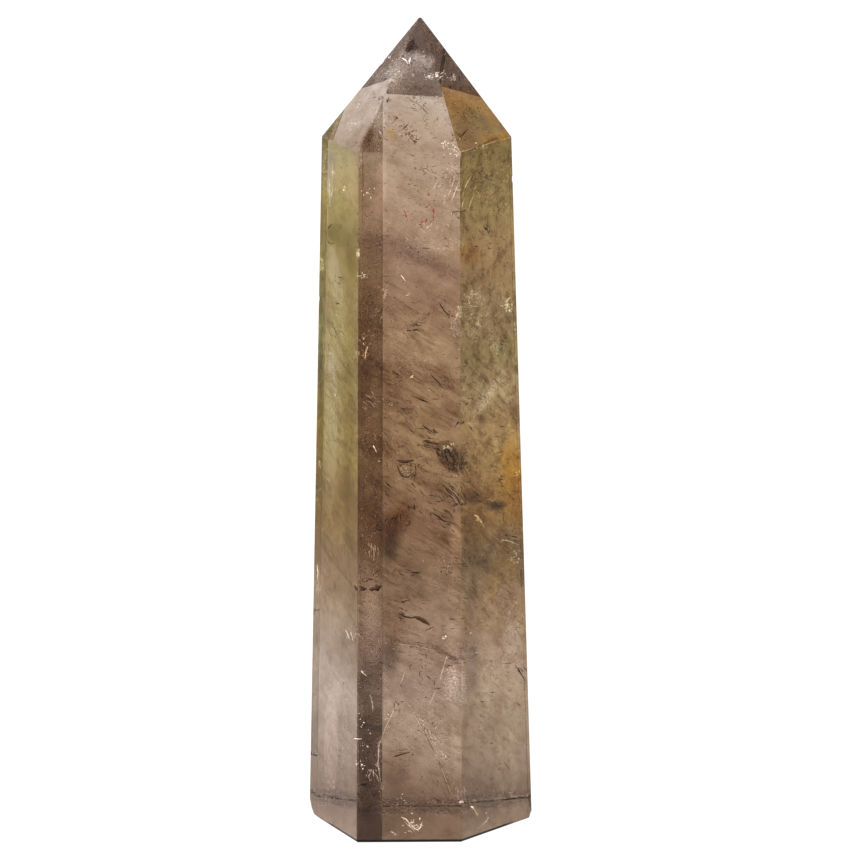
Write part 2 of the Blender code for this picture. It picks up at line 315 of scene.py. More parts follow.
def tower_tip():
    """The middle of the worn tip."""
    top = max(v.co.z for v in TOWER.data.vertices)
    tip = [v.co for v in TOWER.data.vertices if v.co.z > top - ALMOST_LEVEL]
    return sum(tip, Vector()) / len(tip)


def look_at(thing, aim):
    """Turn a camera or lamp towards a point."""
    thing.rotation_euler = (aim - thing.location).to_track_quat("-Z", "Y").to_euler()


def add_camera():
    """The photograph's view: a long lens a little above the middle of the tower."""
    data = bpy.data.cameras.new("camera")
    data.lens = LENS_MM
    data.sensor_width = SENSOR_MM
    data.clip_start, data.clip_end = CLIP_NEAR, CLIP_FAR
    camera = bpy.data.objects.new("camera", data)
    bpy.context.scene.collection.objects.link(camera)
    tip = tower_tip()
    centre = Vector((tip.x, tip.y, CAMERA_CENTRE_HEIGHT))
    up = Vector((0, math.sin(CAMERA_ELEVATION), math.cos(CAMERA_ELEVATION)))
    back = Vector((0, -math.cos(CAMERA_ELEVATION), math.sin(CAMERA_ELEVATION)))
    camera.location = centre + back * CAMERA_DISTANCE
    look_at(camera, centre + Vector((AIM_RIGHT, 0, 0)) - up * AIM_DOWN)
    bpy.context.scene.camera = camera
    return camera


def add_floor():
    """A wide pale floor, a hair below the base."""
    size = FLOOR_HALF_WIDTH
    corners = [(x, y, -FLOOR_GAP) for x, y in ((-size, -size), (size, -size), (size, size), (-size, size))]
    mesh = bpy.data.meshes.new("floor")
    mesh.from_pydata(corners, [], [(0, 1, 2, 3)])
    mesh.materials.append(dull_material("floor"))
    floor = bpy.data.objects.new("floor", mesh)
    bpy.context.scene.collection.objects.link(floor)
    floor.visible_glossy = False


def add_world():
    """Even white light from all round, with a dimmer room for the polish to mirror."""
    world = bpy.data.worlds.new("studio")
    bpy.context.scene.world = world
    world.use_nodes = True
    tree = world.node_tree
    ray = tree.nodes.new("ShaderNodeLightPath")
    outside = maths(tree, "SUBTRACT", 1.0, ray.outputs["Transmission Depth"])
    mirrored = maths(tree, "MULTIPLY", ray.outputs["Is Glossy Ray"], maths(tree, "MAXIMUM", outside, 0.0))
    light = maths(tree, "MULTIPLY_ADD", mirrored, MIRRORED_LIGHT - ROOM_LIGHT, ROOM_LIGHT)
    background = tree.nodes["Background"]
    background.inputs["Color"].default_value = (1, 1, 1, 1)
    tree.links.new(light, background.inputs["Strength"])


def add_softbox(name, place, size, power):
    """A soft lamp for what is caught in the stone."""
    data = bpy.data.lights.new(name, "AREA")
    data.shape = "RECTANGLE"
    data.size = data.size_y = size
    data.energy = power
    lamp = bpy.data.objects.new(name, data)
    lamp.location = place
    look_at(lamp, Vector((0, 0, CAMERA_CENTRE_HEIGHT)))
    lamp.visible_camera = lamp.visible_transmission = lamp.visible_glossy = False
    lamp.light_linking.receiver_collection = INCLUSIONS
    bpy.context.scene.collection.objects.link(lamp)


# ------------ places inside the stone


def flat_faces():
    """The outward normals and distances of the tower's large flat faces."""
    faces = [p for p in TOWER.data.polygons if p.area > BIG_FACE]
    normals = np.array([tuple(p.normal) for p in faces])
    offsets = np.array([p.normal.dot(p.center) for p in faces])
    return normals, offsets


def unit(vectors):
    """Vectors of length one."""
    return vectors / np.linalg.norm(vectors, axis=-1, keepdims=True)


def room(points):
    """How deep each point lies below the nearest face."""
    return (OFFSETS - points @ NORMALS.T).min(axis=1)


def sight(pixels, depth):
    """Points seen at these spots of the photograph, this deep in the stone (metres); a depth
    below zero is measured back from the far side."""
    pixels = np.atleast_2d(np.asarray(pixels, float))
    matrix = np.array(CAMERA.matrix_basis)
    across = (pixels[:, 0] - PHOTO_WIDTH / 2) / FOCAL_PX
    upward = -(pixels[:, 1] - PHOTO_HEIGHT / 2) / FOCAL_PX
    rays = unit(np.column_stack([across, upward, -np.ones(len(pixels))]) @ matrix[:3, :3].T)
    eye = matrix[:3, 3]
    facing = rays @ NORMALS.T
    reach = (OFFSETS - eye @ NORMALS.T) / facing
    reach[facing >= 0] = -np.inf
    first = reach.argmax(axis=1)
    entry = eye + rays * reach[np.arange(len(rays)), first][:, None]
    normal = NORMALS[first]
    cosine = -(rays * normal).sum(axis=1, keepdims=True)
    ratio = 1 / QUARTZ_IOR
    bent = np.sqrt(1 - ratio**2 * (1 - cosine**2))
    inner = ratio * rays + (ratio * cosine - bent) * normal
    leaving = inner @ NORMALS.T
    run = (OFFSETS - entry @ NORMALS.T) / leaving
    run[leaving <= 0] = np.inf
    depth = np.broadcast_to(depth, len(rays))
    depth = np.where(depth < 0, run.min(axis=1) + depth, depth)
    return entry + inner * depth[:, None]


def inside_points(count, low, high):
    """Points spread evenly through the stone between two heights in mm."""
    lowest, highest = np.array(CAD_BOX[0]), np.array(CAD_BOX[1])
    lowest[2], highest[2] = low * MM, high * MM
    points = rng.uniform(lowest, highest, size=(count, 3))
    return points[room(points) > LOOSE_SKIN]


def patchy(points, size=PATCH_SIZE):
    """0 to 1, in patches of about this size: a few crossed waves."""
    value = np.zeros(len(points))
    for wave, phase in zip(PATCH_WAVES, PATCH_PHASES):
        value += np.sin(points @ wave / size * PATCH_TURNS + phase)
    return np.clip(0.5 + value / PATCH_SOFTNESS, 0, 1)


def thinned(points, sparse, size=PATCH_SIZE):
    """Those of the points that lie in patches; this share is left out even there."""
    return points[patchy(points, size) > sparse + (1 - sparse) * rng.random(len(points))]


# ------------ mesh makers


class Heap:
    """Gathers points and triangles of one kind of inclusion into one piece."""

    def __init__(self, name, mineral):
        self.name, self.mineral = name, mineral
        self.points, self.faces, self.count = [], [], 0

    def add(self, points, faces):
        """Put more geometry on the heap."""
        self.points.append(points)
        self.faces.append(faces + self.count)
        self.count += len(points)

    def finish(self):
        """Make the piece, carried by the tower's body."""
        points, faces = np.concatenate(self.points), np.concatenate(self.faces)
        mesh = bpy.data.meshes.new(self.name)
        mesh.vertices.add(len(points))
        mesh.vertices.foreach_set("co", points.astype(np.float32).ravel())
        mesh.loops.add(faces.size)
        mesh.loops.foreach_set("vertex_index", faces.astype(np.int32).ravel())
        mesh.polygons.add(len(faces))
        mesh.polygons.foreach_set("loop_start", np.arange(0, faces.size, 3, dtype=np.int32))
        mesh.update(calc_edges=True)
        mesh.materials.append(dull_material(self.mineral))
        piece = bpy.data.objects.new(self.name, mesh)
        bpy.context.scene.collection.objects.link(piece)
        INCLUSIONS.objects.link(piece)
        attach(piece, "root")


def flakes(centres, along, across, thickness):
    """Closed four-sided flakes: points and triangles."""
    through = unit(np.cross(along, across)) * thickness
    points = np.stack(
        [centres + along + through, centres - along + through,
         centres + across - through, centres - across - through], axis=1)
    faces = FLAKE_FACES[None] + 4 * np.arange(len(centres))[:, None, None]
    return points.reshape(-1, 3), faces.reshape(-1, 3)


def lay_flakes(heap, centres, along, length, width, jitter):
    """Flakes at centres, lying roughly along a direction, each a little different."""
    count = len(centres)
    along = unit(np.broadcast_to(along, (count, 3)) + jitter * rng.normal(size=(count, 3)))
    other = unit(rng.normal(size=(count, 3)))
    across = unit(other - along * (other * along).sum(axis=1, keepdims=True))
    size = rng.lognormal(0, FLAKE_SPREAD, size=(count, 1))
    long, wide = length / 2 * size, width / 2 * size
    fits = room(centres) > SKIN + long[:, 0]
    heap.add(*flakes(centres[fits], (along * long)[fits], (across * wide)[fits], width * FLAKE_THICKNESS))


def along_path(path, share):
    """Spots at shares of the way along a path of pixels, and the way it runs there."""
    path = np.asarray(path, float)
    steps = np.linalg.norm(np.diff(path, axis=0), axis=1)
    reached = np.concatenate([[0], np.cumsum(steps)])
    travelled = share * reached[-1]
    spots = np.column_stack([np.interp(travelled, reached, path[:, k]) for k in (0, 1)])
    leg = np.clip(np.searchsorted(reached, travelled, side="right") - 1, 0, len(steps) - 1)
    return spots, unit(np.diff(path, axis=0))[leg]


def stroke(heap, path, spread, near, far, count, length, width, jitter, clump):
    """Flakes strewn along a path: the spread is in pixels, the rest in mm."""
    share = rng.random(count)
    spots, way = along_path(path, share)
    side = np.column_stack([-way[:, 1], way[:, 0]])
    spots = spots + side * (spread * rng.normal(size=(count, 1)))
    deep = rng.uniform(near, far, count) * MM
    centres = sight(spots, deep)
    along = unit(sight(spots + way, deep) - centres)
    if clump:
        keep = patchy(centres) > clump * rng.random(count)
        centres, along = centres[keep], along[keep]
    lay_flakes(heap, centres, along, length * MM, width * MM, jitter)


def tube(line, radius):
    """A closed, slightly flattened tube along a line: points and triangles."""
    way = unit(np.gradient(line, axis=0))
    side = unit(np.cross(way, ASKEW))
    lift = np.cross(way, side)
    turn = np.arange(TUBE_SIDES) / TUBE_SIDES * 2 * np.pi
    ring = np.cos(turn)[None, :, None] * side[:, None]
    ring = ring + TUBE_FLATNESS * np.sin(turn)[None, :, None] * lift[:, None]
    points = (line[:, None] + ring * radius[:, None, None]).reshape(-1, 3)
    faces = []
    for low in range(0, (len(line) - 1) * TUBE_SIDES, TUBE_SIDES):
        high = low + TUBE_SIDES
        for near in range(TUBE_SIDES):
            far = (near + 1) % TUBE_SIDES
            faces += [(low + near, low + far, high + far), (low + near, high + far, high + near)]
    last = (len(line) - 1) * TUBE_SIDES
    for k in range(1, TUBE_SIDES - 1):
        faces += [(0, k + 1, k), (last, last + k, last + k + 1)]
    return points, np.array(faces)


def needle(heap, path, depth, width, slant):
    """A tapered sliver through the spots of a path: depth and width in mm, slanting away by
    this many mm from end to end. One that would come too near a face is left out."""
    reach = np.linalg.norm(np.diff(np.asarray(path, float), axis=0), axis=1).sum()
    rings = int(np.clip(reach / RING_PIXELS, FEWEST_RINGS, MOST_RINGS))
    share = np.linspace(0, 1, rings)
    spots, _ = along_path(path, share)
    line = sight(spots, (depth + slant * share) * MM)
    swell = np.where(share < HEAD, share / HEAD, (1 - share) / (1 - HEAD))
    lumps = 1 + LUMPS * rng.normal(size=rings)
    radius = width / 2 * MM * np.sqrt(np.clip(swell, THIN_END, 1)) * np.clip(lumps, LEAST_LUMP, MOST_LUMP)
    if (room(line) >= radius + SKIN / 2).all():
        heap.add(*tube(line, radius))


def knot(heap, spot, spread, depth, count, length, width, slope, swing):
    """Short crooked slivers round a spot."""
    for _ in range(count):
        middle = np.array(spot) + spread * rng.normal(size=2)
        angle = math.radians(slope + swing * rng.normal())
        way = np.array((math.cos(angle), math.sin(angle)))
        half = length / 2 * PIXELS_PER_MM * rng.lognormal(0, KNOT_LENGTHS)
        bend = np.array((-way[1], way[0])) * half * KNOT_BENDS * rng.normal()
        path = (middle - way * half, middle + bend, middle + way * half)
        deep = depth + rng.uniform(-KNOT_DEPTH, KNOT_DEPTH)
        needle(heap, path, deep, width * rng.lognormal(0, KNOT_WIDTHS), rng.normal() * KNOT_SLANT)


# ------------ materials


# Which of a Mix node's sockets are for colours: share, first and second; result.
MIX_INPUTS, MIX_OUTPUT = (0, 6, 7), 2


def feed(tree, socket, value):
    """Link an output to a socket, or set the socket to a value."""
    if isinstance(value, bpy.types.NodeSocket):
        tree.links.new(value, socket)
    else:
        socket.default_value = value


def node(tree, kind, **values):
    """A shader node; sockets are set by name, and anything else is set on the node."""
    made = tree.nodes.new(kind)
    for name, value in values.items():
        socket = made.inputs.get(name.replace("_", " "))
        if socket is None:
            setattr(made, name, value)
        else:
            feed(tree, socket, value)
    return made


def maths(tree, operation, *values):
    """The result of a Math node; each input is a number or another node's output."""
    made = node(tree, "ShaderNodeMath", operation=operation)
    for socket, value in zip(made.inputs, values):
        feed(tree, socket, value)
    return made.outputs[0]


def vector_maths(tree, operation, *values):
    """A Vector Math node."""
    made = node(tree, "ShaderNodeVectorMath", operation=operation)
    for socket, value in zip(made.inputs, values):
        feed(tree, socket, value)
    return made


def mix(tree, blend, first, second, share=1.0):
    """Two colours mixed or multiplied, wholly or in part."""
    made = node(tree, "ShaderNodeMix", data_type="RGBA", blend_type=blend)
    for place, value in zip(MIX_INPUTS, (share, first, second)):
        feed(tree, made.inputs[place], value)
    return made.outputs[MIX_OUTPUT]


def noise(tree, place, settings):
    """Noise between 0 and 1."""
    return node(tree, "ShaderNodeTexNoise", Vector=place, **settings).outputs[0]


def fade(tree, value, start, end, curve="LINEAR"):
    """0 up to the start, 1 from the end on."""
    made = node(tree, "ShaderNodeMapRange", interpolation_type=curve, From_Min=start, From_Max=end)
    feed(tree, made.inputs["Value"], value)
    return made.outputs[0]


def ramp(tree, factor, stops):
    """A colour ramp with (position, colour) stops."""
    made = node(tree, "ShaderNodeValToRGB")
    feed(tree, made.inputs[0], factor)
    made.color_ramp.interpolation = "EASE"
    elements = made.color_ramp.elements
    while len(elements) < len(stops):
        elements.new(0.5)
    for element, (position, colour) in zip(elements, stops):
        element.position = position
        element.color = (*colour, 1)
    return made.outputs[0]


def zones(tree, level, stops):
    """Colours by height: the stops are heights in mm, the level a share of the tower's height."""
    return ramp(tree, level, [(height * MM / TOWER_HEIGHT, colour) for height, colour in stops])


def on_face(tree, place, azimuth, tilt):
    """1 on the face that looks this way, 0 on the others; in degrees from the front."""
    turn, rise = math.radians(azimuth), math.radians(tilt)
    way = np.array((math.sin(turn) * math.cos(rise), -math.cos(turn) * math.cos(rise), math.sin(rise)))
    face = (NORMALS @ way).argmax()
    outward = vector_maths(tree, "DOT_PRODUCT", place, NORMALS[face]).outputs["Value"]
    return fade(tree, outward, OFFSETS[face] - FACE_RIM, OFFSETS[face] - FACE_RIM_FULL, "SMOOTHSTEP")


def cloud_share(tree, place, heart, pixel, depth, half_length, half_width, slope):
    """1 in the heart of a cloud, fading to 0 at its rim."""
    ball = node(tree, "ShaderNodeTexGradient", gradient_type="SPHERICAL", Vector=place)
    shape = ball.texture_mapping
    shape.vector_type = "TEXTURE"
    shape.translation = sight([pixel], depth * MM)[0]
    shape.rotation = (0, math.radians(slope), 0)
    shape.scale = (half_length * MM, CLOUD_DEPTH, half_width * MM)
    return fade(tree, ball.outputs["Fac"], 0.0, 1 - heart, "SMOOTHSTEP")


def drawn_out(tree, place):
    """Places squeezed along the way the streaks run, so that noise there comes out long."""
    way = Vector(STREAK_WAY).normalized()
    run = vector_maths(tree, "DOT_PRODUCT", place, way).outputs["Value"]
    along = node(tree, "ShaderNodeVectorMath", operation="SCALE", Vector=way, Scale=run).outputs[0]
    shrink = 1 / STREAK_STRETCH - 1
    squeeze = node(tree, "ShaderNodeVectorMath", operation="SCALE", Vector=along, Scale=shrink)
    return vector_maths(tree, "ADD", place, squeeze.outputs[0]).outputs[0]


def colour_zones_and_painted_light(tree, place, level):
    """Tints by height and by face, and soft clouds of them; some are painted shade, highlights and
    reflections.
    """
    colour = zones(tree, level, SMOKE)
    for azimuth, tilt, stops in FACE_ZONES.values():
        share = on_face(tree, place, azimuth, tilt)
        colour = mix(tree, "MIX", colour, zones(tree, level, stops), share)
    for table, heart in ((CLOUDS, CLOUD_HEART), (PANES, PANE_HEART)):
        for *where, tint in table.values():
            colour = mix(tree, "MULTIPLY", colour, (*tint, 1), cloud_share(tree, place, heart, *where))
    return colour


def grained(tree, colour, place, height, level):
    """The colour with streaks and mottling, and crackle on the right face."""
    patches = ramp(tree, noise(tree, place, PATCH_NOISE), STREAK_PATCHES)
    strength = mix(tree, "MULTIPLY", zones(tree, level, STREAK_STRENGTH), patches)
    left = on_face(tree, place, *FACE_ZONES["left"][:2])
    calm = maths(tree, "MULTIPLY_ADD", left, -LEFT_CALM, 1.0)
    strength = maths(tree, "MULTIPLY", strength, calm)
    streaks = ramp(tree, noise(tree, drawn_out(tree, place), STREAK_NOISE), STREAKS)
    colour = mix(tree, "MULTIPLY", colour, streaks, strength)
    colour = mix(tree, "MULTIPLY", colour, ramp(tree, noise(tree, place, MOTTLE_NOISE), MOTTLE), calm)
    crackle = ramp(tree, noise(tree, place, CRACKLE_NOISE), CRACKLE)
    right = on_face(tree, place, *FACE_ZONES["right"][:2])
    right = maths(tree, "MULTIPLY", right, fade(tree, height, CRACKLE_LOW, CRACKLE_HIGH))
    return mix(tree, "MULTIPLY", colour, crackle, right)


def with_contact_shadow(tree, colour, place, xyz):
    """The colour with a painted contact shadow, the dark line in front where the stone meets the ground, and
    the base's own tint.
    """
    low = fade(tree, xyz.outputs["Z"], CONTACT_SHADOW_LINE, CONTACT_SHADOW_LINE_FULL)
    ahead = fade(tree, xyz.outputs["Y"], CONTACT_SHADOW_AHEAD, CONTACT_SHADOW_AHEAD_FULL)
    # Painted contact shadow: darker low down at the front.
    colour = mix(tree, "MULTIPLY", colour, (*CONTACT_SHADOW_TINT, 1), maths(tree, "MULTIPLY", low, ahead))
    return mix(tree, "MIX", colour, (*BASE_TINT, 1), on_face(tree, place, 0, STRAIGHT_DOWN))


def quartz_material():
    """Clear brown quartz; tints by height, by side and in clouds stand for its colour zones, and some for
    painted shade, highlights and reflections.
    """
    material = bpy.data.materials.new("quartz")
    material.use_nodes = True
    tree = material.node_tree
    place = node(tree, "ShaderNodeTexCoord").outputs["Object"]
    xyz = node(tree, "ShaderNodeSeparateXYZ", Vector=place)
    dipping = maths(tree, "MULTIPLY_ADD", xyz.outputs["X"], ZONE_DIP, xyz.outputs["Z"])
    swing = maths(tree, "MULTIPLY_ADD", noise(tree, place, ZONE_NOISE), 2 * ZONE_SWING, -ZONE_SWING)
    level = maths(tree, "DIVIDE", maths(tree, "ADD", dipping, swing), TOWER_HEIGHT)
    colour = colour_zones_and_painted_light(tree, place, level)
    colour = grained(tree, colour, place, xyz.outputs["Z"], level)
    colour = with_contact_shadow(tree, colour, place, xyz)
    shader = tree.nodes["Principled BSDF"]
    shader.inputs["Roughness"].default_value = 0.0
    shader.inputs["IOR"].default_value = QUARTZ_IOR
    shader.inputs["Transmission Weight"].default_value = 1.0
    # The shader takes the square root of its colour at each face, so it gets the square.
    tree.links.new(mix(tree, "MULTIPLY", colour, colour), shader.inputs["Base Color"])
    volume = node(tree, "ShaderNodeVolumeAbsorption", Color=(*QUARTZ_ABSORPTION, 1), Density=QUARTZ_DENSITY)
    tree.links.new(volume.outputs[0], tree.nodes["Material Output"].inputs["Volume"])
    return material


def dull_material(name):
    """A dull opaque material."""
    colour, roughness = DULL[name]
    material = bpy.data.materials.new(name)
    material.use_nodes = True
    shader = material.node_tree.nodes["Principled BSDF"]
    shader.inputs["Base Color"].default_value = (*colour, 1)
    shader.inputs["Roughness"].default_value = roughness
    shader.inputs["Specular IOR Level"].default_value = 0.0
    return material


# ------------ what is caught inside

# Slivers: the depth, width and slant of each in mm, then the path where it is seen (x, y,
# x, y and so on).
NEEDLES = (
    # the point's right facet, the feather's edge, high up
    (3, 0.62, 0, 462, 112, 465, 117, 467, 121), (3, 0.62, 0, 468, 129, 463, 134, 459, 138),
    (3, 0.2, 0, 410, 704, 424, 731, 438, 760, 452, 800), (10, 0.2, 2, 418, 170, 426, 168, 431, 173),
    (10, 0.2, 1, 430, 167, 433, 173, 438, 174), (6, 0.69, 1, 483, 226, 489, 232),
    (7, 0.38, 1, 500, 236, 506, 241),
    # tadpoles and dashes in the middle
    (8, 0.42, 1, 438, 301, 443, 309, 449, 317), (7, 0.36, 1, 411, 325, 417, 325, 422, 326),
    (7, 0.34, 1, 412, 330, 418, 329), (9, 0.38, 3, 430, 374, 437, 381, 446, 391),
    (6, 0.62, 1, 392, 371, 400, 376), (3, 0.5, 1, 455, 426, 459, 421),
    (6, 0.62, 1, 422, 425, 428, 429, 435, 434), (6, 0.75, 1, 422, 440, 428, 442, 438, 444),
    # the box and below it
    (6, 0.9, 0, 396, 460, 404, 462, 414, 460), (7, 0.4, 0, 397, 464, 400, 474, 407, 478, 413, 473),
    (7, 0.36, 0, 415, 463, 416, 472, 414, 480), (6, 0.5, 1, 443, 484, 450, 494, 455, 502),
    (5, 0.44, 1, 451, 488, 457, 497, 462, 508), (6, 0.5, 0, 436, 502, 445, 500),
    (5, 0.5, 0, 411, 483, 416, 488), (6, 0.62, 1, 431, 512, 439, 517, 446, 523),
    (7, 0.38, 1, 434, 518, 442, 520, 458, 525),
    # the bar in the strip, the feather and dashes round it
    (4, 1.9, 0, 369, 589.5, 375, 588.5, 382, 586), (4, 0.75, 0, 366, 577, 370, 580),
    (4, 1, 0, 359, 586, 363, 588, 367, 589), (5, 0.69, 0, 398, 613, 406, 617, 416, 618),
    (5, 1.3, 0, 413, 616, 421, 619, 430, 625), (7, 0.44, 0, 400, 602, 406, 601, 410, 600),
    (6, 0.62, 0, 410, 573, 419, 572), (6, 0.44, 0, 448, 619, 456, 619),
    # on the right
    (5, 0.44, 0, 498, 478, 501, 483, 504, 487), (5, 0.44, 0, 498, 480, 505, 479),
    (3, 0.62, 1, 515, 665, 520, 672, 526, 682), (6, 0.31, 1, 500, 664, 512, 663, 521, 655),
    # near the base, on the left
    (9, 0.4, 1, 393, 757, 402, 754, 411, 752), (8, 0.34, 1, 432, 797, 441, 802, 452, 803),
    (3, 0.38, 0, 327, 241, 331, 244, 335, 243), (4, 0.44, 0, 338, 277, 343, 278),
    (4, 0.62, 0, 336, 303, 340, 304),
)
# Knots of slivers: the spot (x, y) and its spread in pixels, depth in mm, how many, their
# length and width in mm, their slope in degrees (down to the right) and how it swings.
DARK_KNOTS = (
    # the point
    (472, 108, 6, 3, 11, 0.5, 0.28, 50, 60), (480, 126, 7, 3, 12, 0.5, 0.26, 50, 60),
    (405, 128, 2.6, 4, 7, 0.45, 0.32, 20, 50), (411, 135, 3, 4, 11, 0.5, 0.34, 50, 50),
    (416, 141, 2, 4, 5, 0.4, 0.34, 60, 50), (396, 117, 3, 5, 6, 0.45, 0.26, 70, 40),
    (420, 104, 5, 6, 7, 0.4, 0.22, 40, 40), (429, 122, 3, 6, 5, 0.35, 0.22, 0, 90),
    (461, 112, 3, 4, 6, 0.5, 0.28, 60, 50), (461, 136, 2.5, 4, 7, 0.55, 0.32, -50, 30),
    (388, 100, 2, 5, 4, 0.6, 0.26, 90, 20),
    # high up
    (424, 170, 4, 6, 7, 1.1, 0.12, 10, 60), (459, 213, 3, 5, 8, 0.8, 0.12, 30, 60),
    (486, 230, 2, 4, 5, 1.2, 0.34, 50, 15), (484, 180, 6, 5, 16, 0.8, 0.16, 60, 60),
    # tadpoles, dashes and slopes in the middle
    (441, 307, 4, 6, 5, 1.2, 0.18, 52, 12), (449, 315, 1.5, 6, 5, 0.8, 0.45, 50, 30),
    (417, 327, 3, 6, 7, 1, 0.34, 0, 20), (440, 384, 7, 6, 9, 1.3, 0.15, 45, 14),
    (398, 376, 4, 6, 7, 0.9, 0.3, 25, 30), (403, 408, 5, 6, 7, 1, 0.22, 25, 25),
    (371, 402, 4, 4, 9, 1.6, 0.2, 40, 15), (458, 423, 1.2, 4, 3, 0.6, 0.24, -50, 20),
    (430, 430, 2, 5, 5, 1.2, 0.3, 40, 12),
    # the cluster
    (430, 443, 4, 5, 12, 1.3, 0.34, 20, 22), (447, 452, 5, 6, 24, 1.2, 0.4, 60, 40),
    (454, 465, 4, 6, 20, 1, 0.32, 80, 40), (469, 456, 4, 5, 6, 1.2, 0.2, 80, 35),
    # the box and below it
    (407, 470, 4.5, 6, 20, 0.9, 0.26, 0, 90), (422, 468, 3, 6, 8, 0.9, 0.26, 20, 25),
    (434, 490, 7, 6, 12, 1.3, 0.2, 38, 14), (455, 492, 5, 5, 12, 1.5, 0.22, 42, 14),
    (442, 516, 7, 6, 16, 1.2, 0.22, 48, 18), (412, 505, 3, 6, 5, 0.8, 0.3, 50, 30),
    # the fan, the smudge and right of them
    (472, 497, 7, 5, 14, 1.8, 0.2, 25, 12), (495, 505, 6, 5, 5, 1.8, 0.2, 6, 6),
    (500, 479, 3, 4, 6, 1.2, 0.24, 45, 50), (502, 492, 9, 4, 12, 2, 0.12, 4, 10),
    (510, 533, 4, 3, 8, 0.9, 0.26, 30, 50),
    # the blotch and below it
    (398, 520, 6, 7, 14, 1.4, 0.26, -55, 20), (450, 568, 5, 5, 26, 0.5, 0.2, 0, 90),
    (415, 573, 2, 6, 4, 1.4, 0.26, -5, 10),
    # the bar, the feather, the low veil
    (370, 578, 3, 3, 7, 0.6, 0.4, 20, 40), (362, 588, 1.5, 3, 4, 1, 0.5, 0, 15),
    (404, 616, 3, 5, 7, 1, 0.32, 20, 20), (406, 600, 3, 7, 4, 1.3, 0.2, 0, 10),
    (452, 657, 5, 6, 12, 1.6, 0.2, 14, 8), (412, 647, 9, 6, 16, 1.8, 0.16, 13, 6),
    (425, 668, 10, 7, 16, 1.3, 0.18, 35, 30),
    # low on the right, near the base, on the left
    (520, 673, 3, 3, 7, 1.3, 0.28, 55, 18), (508, 658, 6, 5, 9, 1.5, 0.14, -30, 20),
    (398, 704, 4, 5, 12, 0.9, 0.24, 60, 50), (402, 754, 5, 6, 7, 0.9, 0.22, -14, 14),
    (437, 801, 5, 8, 5, 1.4, 0.16, 20, 12), (341, 752, 3, 3, 16, 0.7, 0.2, 75, 25),
    (335, 335, 3, 3, 8, 3.5, 0.16, 62, 8), (338, 282, 3, 3, 8, 0.6, 0.28, 20, 60),
)
BROWN_NEEDLES = (
    (6, 0.44, 1, 388, 98, 387, 104), (5, 0.44, 1, 396, 113, 395, 120, 391, 124),
    (8, 0.28, 2, 409, 99, 418, 104, 424, 109), (9, 0.38, 2, 422, 108, 428, 114),
    (5, 0.38, 0, 401, 130, 407, 126, 409, 122), (5, 0.62, 1, 407, 133, 412, 139, 415, 143),
    (7, 0.31, 0, 433, 124, 437, 118), (7, 0.5, 0, 425, 124, 427, 126), (6, 0.44, 1, 461, 115, 465, 121),
    (6, 0.5, 1, 466, 131, 461, 138, 459, 141), (3, 0.25, 1, 372, 120, 378, 112, 384, 100),
    (5, 0.62, 1, 504, 762, 510, 770),
)
